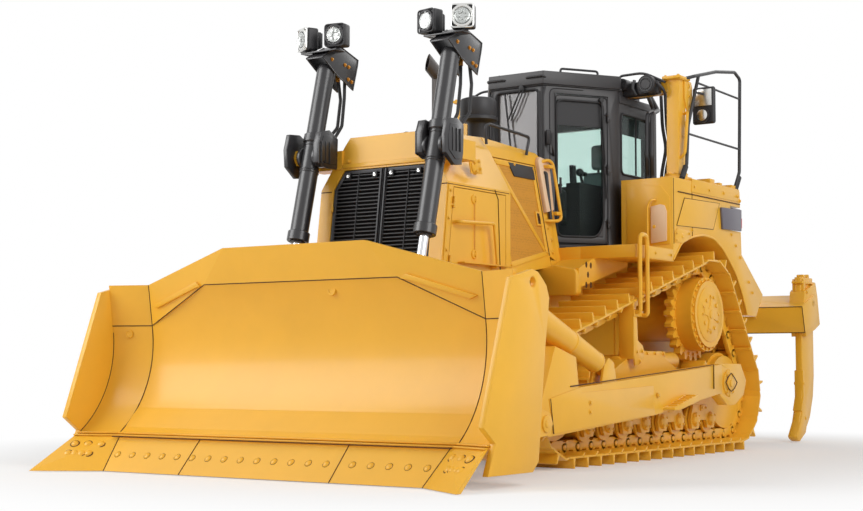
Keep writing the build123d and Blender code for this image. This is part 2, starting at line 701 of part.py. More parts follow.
STACK_X = 1251.0
STACK_Y = -200.0
STACK_R = 55.0
STACK_TOP = 3330.0
hood_seat = HOOD_REAR_TOP + 35 + (HOOD_CREST - HOOD_REAR_TOP - 35) * (STACK_X - HOOD_REAR - 120) / (
    GUARD_REAR - HOOD_REAR - 120)
stack = bar((STACK_X, STACK_Y, hood_seat - 60), (STACK_X, STACK_Y, STACK_TOP), STACK_R)
stack = stack + bar((STACK_X, STACK_Y, STACK_TOP - 30), (STACK_X + 175, STACK_Y, STACK_TOP + 100), STACK_R)
stack = stack - hood_envelope(0)
put("exhaust_stack", stack)

PRECLEANER_X = 930.0
PRECLEANER_R = 165.0
cleaner = bar((PRECLEANER_X, 0, 2600), (PRECLEANER_X, 0, 2870), 85) - hood_envelope(0)
cleaner = cleaner + bar((PRECLEANER_X, 0, 2860), (PRECLEANER_X, 0, 3150), PRECLEANER_R)
put("precleaner", cleaner)


# ================================================================ cab
def cab_plan(inset, back_inset=None):
    back = CAB_BACK_X + (inset if back_inset is None else back_inset)
    side_y = CAB_SIDE_Y - inset
    run = math.hypot(CAB_NOSE_X - CAB_SIDE_X, CAB_SIDE_Y - CAB_NOSE_Y)
    sine = (CAB_SIDE_Y - CAB_NOSE_Y) / run
    cosine = (CAB_NOSE_X - CAB_SIDE_X) / run
    nose_x = CAB_NOSE_X - inset
    nose_y = CAB_NOSE_Y - inset * (1 - sine) / cosine
    side_x = CAB_SIDE_X - inset * (1 - cosine) / sine
    half = [(nose_x, nose_y), (side_x, side_y), (back, side_y)]
    return half + [(x, -y) for x, y in reversed(half)]


DOOR_RUN = math.hypot(CAB_NOSE_X - CAB_SIDE_X, CAB_SIDE_Y - CAB_NOSE_Y)
DOOR_DIR = ((CAB_SIDE_X - CAB_NOSE_X) / DOOR_RUN, (CAB_SIDE_Y - CAB_NOSE_Y) / DOOR_RUN)
DOOR_OUT = (DOOR_DIR[1], -DOOR_DIR[0])


def wall_panel(start, width, z0, z1, face, thick):
    """Upright slab along the left angled wall; face is the distance in from the wall's outer face."""
    def spot(along, depth):
        return (CAB_NOSE_X + DOOR_DIR[0] * along - DOOR_OUT[0] * depth,
                CAB_NOSE_Y + DOOR_DIR[1] * along - DOOR_OUT[1] * depth)
    plan = [spot(start, face), spot(start + width, face), spot(start + width, face + thick),
            spot(start, face + thick)]
    return floor_plan(plan, z0, z1)


DOOR_END = DOOR_START + DOOR_WIDTH - GAP
CAB_HINGE = ((CAB_NOSE_X + DOOR_DIR[0] * DOOR_END + DOOR_OUT[0] * HINGE_STAND,
              CAB_NOSE_Y + DOOR_DIR[1] * DOOR_END + DOOR_OUT[1] * HINGE_STAND, CAB_DOOR_LOW), (0, 0, 1),
             (DOOR_OUT[0], DOOR_OUT[1], 0), (DOOR_DIR[0], DOOR_DIR[1], 0))
cab_fixed, cab_swinging = hinge_halves(*CAB_HINGE[:2], (150, 650, 1130), *CAB_HINGE[2:])
WINDOW_LOW = 2580.0
WINDOW_HIGH = 3130.0
WINDSHIELD_LOW = 2560.0
WINDSHIELD_HIGH = 3300.0


def cab_shell():
    high = floor_plan(cab_plan(0), CAB_FLOOR, CAB_EAVES)
    shell = high - floor_plan(cab_plan(CAB_WALL), CAB_FLOOR + CAB_WALL, CAB_EAVES + 1)
    shell = shell - block(CAB_BACK_X - 1, CAB_SIDE_X - 30, -800, 800, CAB_REAR_EAVES, CAB_EAVES + 1)
    for opening in both(wall_panel(DOOR_START, DOOR_WIDTH, CAB_DOOR_LOW, CAB_DOOR_HIGH, -1, CAB_WALL + 12)):
        shell = shell - opening
    shell = shell - block(CAB_SIDE_X - 660, CAB_SIDE_X - 70, -800, 800, WINDOW_LOW, WINDOW_HIGH)
    shell = shell - block(0, 400, -CAB_NOSE_Y + 70, CAB_NOSE_Y - 70, WINDSHIELD_LOW, WINDSHIELD_HIGH)
    shell = shell - block(CAB_BACK_X - 1, CAB_BACK_X + 100, -560, 560, WINDOW_LOW, WINDOW_HIGH)
    return fuse(shell, both(*cab_fixed))


def cab_door():
    leaf = wall_panel(DOOR_START + GAP, DOOR_WIDTH - 2 * GAP, CAB_DOOR_LOW + GAP, CAB_DOOR_HIGH - GAP, 0, LEAF)
    window = wall_panel(DOOR_START + 55, DOOR_WIDTH - 110, CAB_DOOR_LOW + 70, CAB_DOOR_HIGH - 60, -1, LEAF + 2)
    return fuse(leaf - window, cab_swinging)


def door_glass():
    return wall_panel(DOOR_START + 55 + SEAT, DOOR_WIDTH - 110 - 2 * SEAT, CAB_DOOR_LOW + 70 + SEAT,
                      CAB_DOOR_HIGH - 60 - SEAT, 14, 8)


def cab_glass():
    pane = 8
    side = block(CAB_SIDE_X - 660 + SEAT, CAB_SIDE_X - 70 - SEAT, CAB_SIDE_Y - 30, CAB_SIDE_Y - 30 + pane,
                 WINDOW_LOW + SEAT, WINDOW_HIGH - SEAT)
    front = block(CAB_NOSE_X - 30, CAB_NOSE_X - 30 + pane, -CAB_NOSE_Y + 70 + SEAT, CAB_NOSE_Y - 70 - SEAT,
                  WINDSHIELD_LOW + SEAT, WINDSHIELD_HIGH - SEAT)
    rear = block(CAB_BACK_X + 22, CAB_BACK_X + 22 + pane, -560 + SEAT, 560 - SEAT, WINDOW_LOW + SEAT,
                 WINDOW_HIGH - SEAT)
    return both(side) + [front, rear]


def cab_roof():
    plan = cab_plan(-25)
    high = floor_plan(plan, CAB_EAVES, CAB_ROOF)
    high = high - block(CAB_BACK_X - 100, CAB_SIDE_X - 30, -900, 900, CAB_EAVES - 1, CAB_ROOF + 1)
    step = floor_plan(cab_plan(0), CAB_REAR_EAVES, CAB_EAVES)
    step = step - block(CAB_SIDE_X - 31, CAB_NOSE_X + 100, -900, 900, CAB_REAR_EAVES - 1, CAB_EAVES + 1)
    low = floor_plan(cab_plan(-10), CAB_REAR_EAVES, CAB_REAR_ROOF)
    low = low - block(CAB_SIDE_X - 31, CAB_NOSE_X + 100, -900, 900, CAB_REAR_EAVES - 1, CAB_EAVES + 1)
    step = step - block(CAB_BACK_X - 1, CAB_SIDE_X - 110, -900, 900, CAB_REAR_ROOF, CAB_EAVES + 1)
    return high + step + low


put("cab_shell", cab_shell())
put("cab_roof", cab_roof())
put("cab_door_left", cab_door())
put("cab_door_right", mirrored(cab_door()))
put("cab_glass", *cab_glass())
put("door_glass_left", door_glass())
put("door_glass_right", mirrored(door_glass()))

FLOOR_TOP = CAB_FLOOR + CAB_WALL
seat = block(-700, -260, -200, 200, FLOOR_TOP, 2240)
seat = seat + block(-760, -220, -260, 260, 2240, 2370)
seat = seat + plate([(-720, 2370), (-600, 2370), (-680, 3060), (-780, 3060)], -240, 240)
seat = seat + plate([(-775, 3075 - 20), (-690, 3075 - 20), (-700, 3200), (-770, 3200)], -130, 130)
put("operator_seat", seat)

console = block(-700, -80, 300, 440, FLOOR_TOP, 2480)
console = console + plate([(-120, 2480), (-60, 2480), (-50, 2640), (-100, 2640)], 350, 390)
console_right = block(-700, -40, -440, -300, FLOOR_TOP, 2500)
console_right = console_right + plate([(-120, 2500), (-60, 2500), (-40, 2680), (-100, 2680)], -390, -350)
dash = plate([(60, FLOOR_TOP), (200, FLOOR_TOP), (200, 2560), (120, 2560), (60, 2400)], -190, 190)
put("console", console, console_right, dash)

# ================================================================ fenders, tank and roll-over frame
ARCH = [  # lower edge of the fender, from its front to behind the track
    (FENDER_FRONT, PLATFORM_TOP - PLATFORM_THICK), (-420, 1905), (-640, 1972), (-870, 2007), (-1100, 1990),
    (-1290, 1912), (-1450, 1800), (-1600, 1680), (-1740, 1500), (-1850, 1300),
]


def fender():
    outline = ARCH + [(-2060, 1290), (-2230, 1510), (-1730, 1880), (FENDER_REAR, FENDER_TOP),
                      (FENDER_FRONT, FENDER_TOP)]
    body = plate(outline, FENDER_IN, FENDER_OUT)
    body = body - block(-1760, -1480, 1160, FENDER_OUT + 1, 2100, 2335)
    platform = block(FENDER_FRONT, PLATFORM_FRONT, 610, FENDER_OUT, PLATFORM_TOP - PLATFORM_THICK, PLATFORM_TOP)
    skirt = plate([(FENDER_FRONT, PLATFORM_TOP - 105), (-430, 1770), (-700, 1825), (-700, PLATFORM_TOP),
                   (FENDER_FRONT, PLATFORM_TOP)], 706, FENDER_IN)
    return body + platform + skirt


FENDER = fender()
put("fender_left", FENDER)
put("fender_right", mirrored(FENDER))
put("tail_lamps", *both(plate([(-1500, 2118), (-1680, 2118), (-1700, 2140), (-1700, 2300), (-1680, 2320),
                               (-1500, 2320)], 1160, 1320)))
tank = plate([(TANK_FRONT, 1990), (TANK_FRONT, FENDER_TOP - 10), (-1690, FENDER_TOP - 10), (-1735, 1905),
              (-1440, 1850), (-1290, 1930)], -FENDER_IN + SEAT, FENDER_IN - SEAT)
tank = tank + plate([(TANK_FRONT, CASE_TOP + SEAT), (TANK_FRONT, 2300), (-1650, 2300), (-1735, 1930),
                     (-2200, 1560), (-2150, 1480), (FRAME_REAR - 10, 1480), (FRAME_REAR - 10, CASE_TOP + SEAT)],
                    -TANK_HALF_LOW, TANK_HALF_LOW)
put("fuel_tank", tank)


def rops_post():
    post = plate([(-520, FENDER_TOP), (-660, FENDER_TOP), (-690, ROPS_TOP - 30), (-545, ROPS_TOP - 30)],
                 ROPS_Y - ROPS_WIDTH / 2, ROPS_Y + ROPS_WIDTH / 2)
    cap = block(-710, -520, ROPS_Y - 85, ROPS_Y + 85, ROPS_TOP - 30, ROPS_TOP)
    foot = block(-720, -480, ROPS_Y - 100, ROPS_Y + 100, FENDER_TOP, FENDER_TOP + 40)
    return post + cap + foot


beam = block(-690, -545, -(ROPS_Y - ROPS_WIDTH / 2), ROPS_Y - ROPS_WIDTH / 2, CAB_REAR_ROOF + 16, ROPS_TOP - 30)
rops = rops_post() + mirrored(rops_post()) + beam
put("rops", rops)

climate = block(-1100, -760, -520, 520, CAB_REAR_ROOF, CAB_REAR_ROOF + 130)
for sign in (-1, 1):
    climate = climate + bar((-1040, sign * 420, CAB_REAR_ROOF + 115), (-780, sign * 420, CAB_REAR_ROOF + 115), 75)
for side, drop in ((0, 0), (52, 40)):
    line = pipe([(-810 - side, 510, CAB_REAR_ROOF + 60), (-810 - side, 770, CAB_REAR_ROOF + 60),
                 (-745, 870 + drop, 3190), (-500, 925 + side, 3120), (-480, 925 + side, 2720),
                 (-560, 890 + side, 2560), (-560, 890 + side, FENDER_TOP)], 20, 60)
    climate = fuse(climate, both(line))
put("climate_unit", climate)

# ================================================================ rails and mirrors
RAIL_TUBE = 16.0
LADDER_Y = FENDER_OUT - 20
ladder = pipe([(-640, ROPS_Y + 70, ROPS_TOP - 14), (-760, LADDER_Y, 3480), (-1230, LADDER_Y, 3596),
               (-1660, LADDER_Y, 3660), (-1785, LADDER_Y, 3610), (-1745, LADDER_Y, 2690),
               (-1620, LADDER_Y, FENDER_TOP)], RAIL_TUBE, 45)
ladder = ladder + pipe([(-850, LADDER_Y, 3502), (-617, LADDER_Y, 3000), (-580, LADDER_Y, 2640),
                        (-470, LADDER_Y, FENDER_TOP)], RAIL_TUBE, 45)
ladder = ladder + bar((-816, LADDER_Y, 3428), (-1776, LADDER_Y, 3412), 10)
ladder = ladder + bar((-612, LADDER_Y, 2925), (-1755, LADDER_Y, 2914), 10)
ladder = ladder - rops - FENDER
HOOP_Y = TRACK_Y + SHOE_WIDTH / 2 + 24
hoop_foot = TRACK_Y + FRAME_HALF
hoop = pipe([(330, hoop_foot, 850), (330, HOOP_Y, 850), (330, HOOP_Y, 1940), (420, HOOP_Y, 1940),
             (420, HOOP_Y, 815), (420, hoop_foot, 815)], RAIL_TUBE, 32)
hood_rail = pipe([(560, 395, 2500), (560, 470, 2500), (560, 520, 2040), (560, 480, 2040)], RAIL_TUBE, 25)
hood_rail = hood_rail - hood_envelope(0)
put("handrails", *both(ladder, hoop, hood_rail))
mirror_arm = bar((-770, LADDER_Y, 3330), (-905, LADDER_Y + 30, 3330), 12) - ladder
mirror_head = block(-940, -900, ROPS_Y + 20, ROPS_Y + 250, 3050, 3400)
put("mirrors", *both(mirror_head + mirror_arm))


# ================================================================ push arms
def push_arm():
    beam = plate([(-740, 560), (-740, 818), (675, 718), (1850, 640), (1890, 870), (2200, 950), (2390, 560),
                  (2480, 430), (2480, 330), (2290, 280), (592, 395)], ARM_IN, ARM_OUT)
    yoke = plate([(-730, 545), (-730, 822), (-1200, 822), (-1320, 670), (-1260, 540), (-1060, 450), (-900, 450)],
                 ARM_IN + 40, ARM_OUT - 20)
    arm = beam + yoke - cross_bar(TRUNNION_X, TRUNNION_Z, ARM_IN, ARM_OUT - 30, TRUNNION_R + PIN_PLAY)
    cap = plate([(TRUNNION_X - 95, TRUNNION_Z), (TRUNNION_X, TRUNNION_Z + 125), (TRUNNION_X + 95, TRUNNION_Z),
                 (TRUNNION_X, TRUNNION_Z - 125)], ARM_OUT - 20, ARM_OUT - 2)
    arm = arm + cap
    arm = arm - cross_bar(ARM_PIN_X, ARM_PIN_Z, ARM_IN - 1, ARM_OUT + 1, ARM_PIN_R + PIN_PLAY)
    step = plate([(-20, 560), (440, 455), (440, 435), (330, 435), (-20, 500)], ARM_OUT, ARM_OUT + 110)
    for y0 in (ARM_IN + 20, ARM_OUT - 45):
        lug = plate([(TILT_LOW_X - 130, 650), (TILT_LOW_X - 75, TILT_LOW_Z + 40), (TILT_LOW_X, TILT_LOW_Z + 75),
                     (TILT_LOW_X + 75, TILT_LOW_Z + 20), (TILT_LOW_X + 130, 640)], y0, y0 + 25)
        arm = arm + lug
    pin = cross_bar(TILT_LOW_X, TILT_LOW_Z, ARM_IN + 20, ARM_OUT - 20, 32)
    return arm + step + pin


put("push_arms", *both(push_arm()))


# ================================================================ blade
def mold_point(z, depth=0.0):
    """Station of the moldboard's concave face, or of its back, at a height."""
    reach = MOLD_R + depth
    return MOLD_X - math.sqrt(reach * reach - (z - MOLD_Z) ** 2)


def mold_face(y, top, depth):
    """Side-view face of the curved plate."""
    mid = (MOLD_FOOT + top) / 2
    front = [Vector(mold_point(z), y, z) for z in (MOLD_FOOT, mid, top)]
    back = [Vector(mold_point(z, depth), y, z) for z in (top, mid, MOLD_FOOT)]
    edges = [Edge.make_three_point_arc(*front), Edge.make_line(front[2], back[0]),
             Edge.make_three_point_arc(*back), Edge.make_line(back[2], front[0])]
    return Face(Wire(edges))


def moldboard():
    centre = Solid.extrude(mold_face(-FOLD_Y, BREAK_Z, MOLD_PLATE), Vector(0, 2 * FOLD_Y, 0))
    window = section(symmetric([(FOLD_Y, 0), (FOLD_Y, FOLD_TOP_Z), (BREAK_Y, BREAK_Z)]), 3000, 4200)
    body = centre & window
    # spill plate above the moldboard: a flat middle and two sloping sides
    break_x = mold_point(BREAK_Z)
    fold_x = mold_point(FOLD_TOP_Z)
    body = body + polygon([Vector(break_x, -BREAK_Y, BREAK_Z), Vector(break_x, BREAK_Y, BREAK_Z),
                           Vector(CROWN_X, CROWN_Y, CROWN_Z), Vector(CROWN_X, -CROWN_Y, CROWN_Z)], (-45, 0, 0))
    u = Vector(fold_x - break_x, FOLD_Y - BREAK_Y, FOLD_TOP_Z - BREAK_Z)
    v = Vector(CROWN_X - break_x, CROWN_Y - BREAK_Y, CROWN_Z - BREAK_Z)
    n = u.cross(v)
    shoulder_x = break_x - (n.Y * (FOLD_Y - BREAK_Y) + n.Z * (SHOULDER_Z - BREAK_Z)) / n.X
    for sign in (-1, 1):
        body = body + polygon([Vector(break_x, sign * BREAK_Y, BREAK_Z), Vector(fold_x, sign * FOLD_Y, FOLD_TOP_Z),
                               Vector(shoulder_x, sign * FOLD_Y, SHOULDER_Z),
                               Vector(CROWN_X, sign * CROWN_Y, CROWN_Z)], (-45, 0, 0))
        # wings
        span = END_PLATE_IN - FOLD_Y
        wing_dir = Vector(WING_FORWARD, sign * (span + 1), 0)
        body = body + Solid.extrude(mold_face(sign * (FOLD_Y - 1), FOLD_TOP_Z, MOLD_PLATE), wing_dir)
        upper = corners([(fold_x, FOLD_TOP_Z - 1), (shoulder_x, SHOULDER_Z), (shoulder_x - 40, SHOULDER_Z),
                         (fold_x - 40, FOLD_TOP_Z - 1)], sign * (FOLD_Y - 1))
        body = body + polygon(upper, tuple(wing_dir))
    # box beams and ribs on the back
    low_back = [(mold_point(MOLD_FOOT) - 75, MOLD_FOOT - 40), (mold_point(MOLD_FOOT, 20), MOLD_FOOT + 10),
                (mold_point(560, 20), 560), (3060, 560), (3060, 200), (3150, 150)]
    body = body + plate(low_back, -FOLD_Y, FOLD_Y)
    high_back = [(mold_point(1150, 20), 1150), (mold_point(1340, 20), 1340), (3130, 1340), (3060, 1280), (3060, 1150)]
    body = body + (plate(high_back, -FOLD_Y, FOLD_Y) & section(
        symmetric([(FOLD_Y, 0), (FOLD_Y, FOLD_TOP_Z + 40), (BREAK_Y + 20, BREAK_Z)]), 3000, 3400))
    rib = [(mold_point(500, 20), 500), (mold_point(850, 20), 850), (mold_point(1200, 20), 1200), (3060, 1200),
           (3060, 500)]
    for y in (-1250, -940, 0, 940, 1250):
        body = body + plate(rib, y - 15, y + 15)
    # ears for the lift rods, the tilt rods and the push arms: each a pair of plates
    lift_ear = [(3070, 470), (LIFT_EYE_X + 40, LIFT_EYE_Z - 120), (LIFT_EYE_X - 60, LIFT_EYE_Z - 60),
                (LIFT_EYE_X - 75, LIFT_EYE_Z + 10), (LIFT_EYE_X - 30, LIFT_EYE_Z + 75), (3070, 930), (3220, 900),
                (3220, 540)]
    tilt_ear = [(3100, 1150), (TILT_HIGH_X - 60, TILT_HIGH_Z - 60), (TILT_HIGH_X - 70, TILT_HIGH_Z + 20),
                (TILT_HIGH_X, TILT_HIGH_Z + 70), (3150, 1430), (3270, 1330), (3230, 1150)]
    arm_ear = [(3080, 200), (ARM_PIN_X - 60, ARM_PIN_Z - 75), (ARM_PIN_X - 95, ARM_PIN_Z), (ARM_PIN_X - 60, ARM_PIN_Z + 75),
               (ARM_PIN_X + 60, ARM_PIN_Z + 110), (3080, 550)]
    for sign in (-1, 1):
        for outline, y, inner, thick, px, pz, r in (
                (lift_ear, LIFT_Y, 45, 32, LIFT_EYE_X, LIFT_EYE_Z, 45),
                (tilt_ear, TILT_Y, 48, 25, TILT_HIGH_X, TILT_HIGH_Z, 35)):
            for side in (-1, 1):
                near = sign * y + side * inner
                far = sign * y + side * (inner + thick)
                ear = plate(outline, min(near, far), max(near, far))
                boss_end = sign * y + side * (inner + thick + 18)
                body = body + ear + cross_bar(px, pz, min(far, boss_end), max(far, boss_end), r + 20)
        for y0, y1 in ((ARM_IN - 46, ARM_IN - 6), (ARM_OUT + 6, ARM_OUT + 46)):
            a, b = sorted((sign * y0, sign * y1))
            body = body + plate(arm_ear, a, b)
        a, b = sorted((sign * (ARM_IN - 46), sign * (ARM_OUT + 46)))
        body = body + cross_bar(ARM_PIN_X, ARM_PIN_Z, a, b, ARM_PIN_R)
    return body


def end_plate():
    outline = [(3500, 1390), (3840, 405), (3700, 300), (3790, 92), (3240, 92), (3165, 160), (3072, 944),
               (3018, 1267), (3055, 1350), (3105, 1395), (3165, 1440), (3240, 1455)]
    body = plate(outline, END_PLATE_IN, BLADE_HALF)
    return body - cross_bar(LIFT_HOLE_X, LIFT_HOLE_Z, END_PLATE_IN - 1, BLADE_HALF + 1, LIFT_HOLE_R)


FOOT_X = mold_point(MOLD_FOOT)


def edge_slab(inner_y, outer_y):
    """Cutting edge in front of the moldboard's foot."""
    outline = [(FOOT_X, MOLD_FOOT), (EDGE_X, BLADE_CLEAR), (EDGE_X - EDGE_BACK, BLADE_CLEAR),
               (FOOT_X - 30, MOLD_FOOT)]
    return plate(outline, inner_y, outer_y)


def outer_edge():
    """Outer length of cutting edge, whose end slants outwards to the top."""
    window = [(CENTRE_EDGE_Y, 0), (EDGE_JOINT_Y, 0), (EDGE_JOINT_Y, BLADE_CLEAR),
              (EDGE_JOINT_Y + EDGE_SLANT, MOLD_FOOT), (CENTRE_EDGE_Y, MOLD_FOOT)]
    return edge_slab(CENTRE_EDGE_Y, FOLD_Y) & section(window, FOOT_X - 60, EDGE_X + 20)


def end_bit():
    """Angled corner bit, from the cutting edge out to its tip."""
    z0 = BLADE_CLEAR
    top_in = Vector(FOOT_X, EDGE_JOINT_Y + EDGE_SLANT + 1, MOLD_FOOT)
    top_out = Vector(FOOT_X + WING_FORWARD + 16, END_PLATE_IN - 2, MOLD_FOOT)
    low_in = Vector(EDGE_X, EDGE_JOINT_Y + 1, z0)
    low_out = Vector(TIP_X, TIP_Y, z0)
    drop = Vector(-30, 0, 0)
    faces = []
    top = [top_in, top_out, low_out, low_in]
    under = [p + drop for p in (top_in, top_out)] + [low_out + Vector(-52, 0, 0), low_in + Vector(-EDGE_BACK, 0, 0)]
    loops = [top, under] + [[top[i], top[(i + 1) % 4], under[(i + 1) % 4], under[i]] for i in range(4)]
    for loop in loops:
        for tri in ((0, 1, 2), (0, 2, 3)):
            faces.append(Face(Wire.make_polygon([loop[k] for k in tri])))
    return Solid(Shell(faces))


put("moldboard", moldboard())
put("blade_end_plates", *both(end_plate()))
put("cutting_edges", edge_slab(-CENTRE_EDGE_Y + 0.5, CENTRE_EDGE_Y - 0.5),
    *both(outer_edge()))
put("end_bits", *both(end_bit()))

# ================================================================ lift cylinders
LIFT_RUN = math.hypot(LIFT_EYE_X - YOKE_X, YOKE_Z - LIFT_EYE_Z)
LIFT_DIR = ((LIFT_EYE_X - YOKE_X) / LIFT_RUN, (LIFT_EYE_Z - YOKE_Z) / LIFT_RUN)


def along_lift(distance, y=LIFT_Y):
    """Point on the lift cylinder's axis, measured down from its yoke."""
    return (YOKE_X + LIFT_DIR[0] * distance, y, YOKE_Z + LIFT_DIR[1] * distance)


def lift_barrel():
    tube = bar(along_lift(-BARREL_ABOVE), along_lift(BARREL_BELOW), BARREL_R)
    tube = tube - bar(along_lift(-BARREL_ABOVE + 30), along_lift(BARREL_BELOW - 30), BARREL_BORE_R)
    tube = tube - bar(along_lift(BARREL_BELOW - 40), along_lift(BARREL_BELOW + 1), LIFT_ROD_R + PIN_PLAY)
    for at in (-170.0, BARREL_BELOW - 60):
        collar = bar(along_lift(at), along_lift(at + 60), BARREL_R + 13)
        tube = tube + (collar - bar(along_lift(at - 1), along_lift(at + 61), BARREL_BORE_R + 5))
    yoke = block(YOKE_X - 92, YOKE_X + 92, LIFT_Y - 98, LIFT_Y + 98, YOKE_Z - 80, YOKE_Z + 80)
    yoke = yoke - bar(along_lift(-200), along_lift(200), BARREL_R - 5)
    tube = tube + yoke
    tube = tube + cross_bar(YOKE_X, YOKE_Z, LIFT_Y - 137, LIFT_Y - 90, 35)
    tube = tube + cross_bar(YOKE_X, YOKE_Z, LIFT_Y + 90, LIFT_Y + 137, 35)
    bracket = [(2425, 3335), (2200, 3460), (1950, 3380), (1958, 3330), (2018, 3113), (2243, 3215)]
    for side in (-1, 1):
        y0, y1 = sorted((LIFT_Y + side * (BARREL_R - 2), LIFT_Y + side * (BARREL_R + 10)))
        tube = tube + plate(bracket, y0, y1)
    lid = plate([(2425, 3323), (2425, 3335), (2200, 3460), (2200, 3448)], LIFT_Y - BARREL_R - 10,
                LIFT_Y + BARREL_R + 10)
    tube = tube + lid
    core = bar(along_lift(-BARREL_ABOVE + 30), along_lift(BARREL_BELOW - 30), BARREL_BORE_R)
    return tube - core


def lift_rod():
    rod = bar(along_lift(BARREL_BELOW - LIFT_ROD_INSIDE), along_lift(LIFT_RUN - 60), LIFT_ROD_R)
    eye = cross_bar(LIFT_EYE_X, LIFT_EYE_Z, LIFT_Y - 34, LIFT_Y + 34, 78)
    return rod + eye


def lamp(x, y, turn):
    box = Pos(x, y, LAMP_Z) * Rot(0, 0, turn) * (Box(120, 185, 190) + Pos(-70, 0, 0) * Box(60, 130, 140))
    foot = bar((x - 20, y, LAMP_Z - 120), (x - 20, y, LAMP_Z - 80), 16)
    return box + foot


def lamps():
    pair = lamp(LAMP_X, LIFT_Y - LAMP_SPREAD, -11) + lamp(LAMP_X, LIFT_Y + LAMP_SPREAD, 25)
    shelf = block(LAMP_X - 70, LAMP_X + 50, LIFT_Y - LAMP_SPREAD - 30, LIFT_Y + LAMP_SPREAD + 30, LAMP_Z - 124,
                  LAMP_Z - 112)
    return (pair + shelf) - lift_barrel_solid


lift_barrel_solid = lift_barrel()
put("lift_cylinder_barrels", *both(lift_barrel_solid))
put("lift_cylinder_rods", *both(lift_rod()))
put("work_lights", *both(lamps()))

HOSE_R = 14.0
hose_top = Vector(1905, LIFT_Y + 30, 3215)
hose_end = along_lift(-110)
hoses = []
for offset, bow in ((-38, 0), (38, 45)):
    start = (2070, LIFT_Y + offset, 3250)
    route = [start, (2075 - bow, LIFT_Y + offset, 3040), (2110 - bow, LIFT_Y + offset * 1.1, 2800),
             (YOKE_X - 210, LIFT_Y + offset, 2640), (YOKE_X - 92, LIFT_Y + offset, YOKE_Z + 60)]
    hoses.append(pipe(route, HOSE_R, 70))
put("lift_hoses", *both(*[hose - lift_barrel_solid for hose in hoses]))

# ================================================================ tilt cylinders
TILT_RUN = math.hypot(TILT_HIGH_X - TILT_LOW_X, TILT_HIGH_Z - TILT_LOW_Z)
TILT_DIR = ((TILT_HIGH_X - TILT_LOW_X) / TILT_RUN, (TILT_HIGH_Z - TILT_LOW_Z) / TILT_RUN)


def along_tilt(distance):
    """Point on the tilt cylinder's axis, measured up from its lower pin."""
    return (TILT_LOW_X + TILT_DIR[0] * distance, TILT_Y, TILT_LOW_Z + TILT_DIR[1] * distance)


def tilt_barrel():
    tube = cone(along_tilt(120), along_tilt(TILT_TUBE_LENGTH), 82, 108)
    tube = tube - bar(along_tilt(180), along_tilt(TILT_TUBE_LENGTH - 40), 60)
    tube = tube - bar(along_tilt(TILT_TUBE_LENGTH - 60), along_tilt(TILT_TUBE_LENGTH + 1), TILT_ROD_R + PIN_PLAY)
    eye = cross_bar(TILT_LOW_X, TILT_LOW_Z, TILT_Y - 28, TILT_Y + 28, 66)
    neck = bar(along_tilt(30), along_tilt(140), 27)
    shank = eye + neck - cross_bar(TILT_LOW_X, TILT_LOW_Z, TILT_Y - 60, TILT_Y + 60, 32 + PIN_PLAY)
    return tube + shank


def tilt_rod():
    rod = bar(along_tilt(420), along_tilt(TILT_RUN - 45), TILT_ROD_R)
    return rod + cross_bar(TILT_HIGH_X, TILT_HIGH_Z, TILT_Y - 38, TILT_Y + 38, 62)


put("tilt_cylinder_barrels", *both(tilt_barrel()))
put("tilt_cylinder_rods", *both(tilt_rod()))


# ================================================================ ripper
def ripper_bracket():
    body = block(FRAME_REAR - 130, FRAME_REAR, -560, 560, 560, 1470)
    body = body + block(HITCH_X - 80, FRAME_REAR - 120, -110, 110, HITCH_Z, HITCH_Z + HITCH_THICK)
    body = body - bar((HITCH_X, 0, HITCH_Z - 1), (HITCH_X, 0, HITCH_Z + HITCH_THICK + 1), HITCH_R)
    back = FRAME_REAR - 100
    for y, inner, thick, z in ((LINK_Y, 48, 30, LINK_FRONT_Z), (RIPPER_CYL_Y, 46, 30, RIPPER_CYL_LOW),
                               (TILT_RIPPER_Y, 46, 30, LINK_FRONT_Z + LINK_RISE)):
        outline = [(back, z - 75), (LINK_FRONT_X + 40, z - 75), (LINK_FRONT_X - 45, z - 60), (LINK_FRONT_X - 75, z),
                   (LINK_FRONT_X - 45, z + 60), (LINK_FRONT_X + 40, z + 75), (back, z + 130)]
        for sign in (-1, 1):
            for side in (-1, 1):
                near = sign * y + side * inner
                far = sign * y + side * (inner + thick)
                body = body + plate(outline, min(near, far), max(near, far))
    body = body + block(FRAME_REAR - 130, FRAME_REAR, -700, 700, 400, 700)
    for sign in (-1, 1):
        a, b = sorted((sign * (LINK_Y - 78), sign * (LINK_Y + 78)))
        body = body + cross_bar(LINK_FRONT_X, LINK_FRONT_Z, a, b, 40)
        a, b = sorted((sign * (TILT_RIPPER_Y - 74), sign * (TILT_RIPPER_Y + 74)))
        body = body + cross_bar(LINK_FRONT_X, LINK_FRONT_Z + LINK_RISE, a, b, 36)
        a, b = sorted((sign * (RIPPER_CYL_Y - 74), sign * (RIPPER_CYL_Y + 74)))
        body = body + cross_bar(LINK_FRONT_X, RIPPER_CYL_LOW, a, b, 36)
    return body


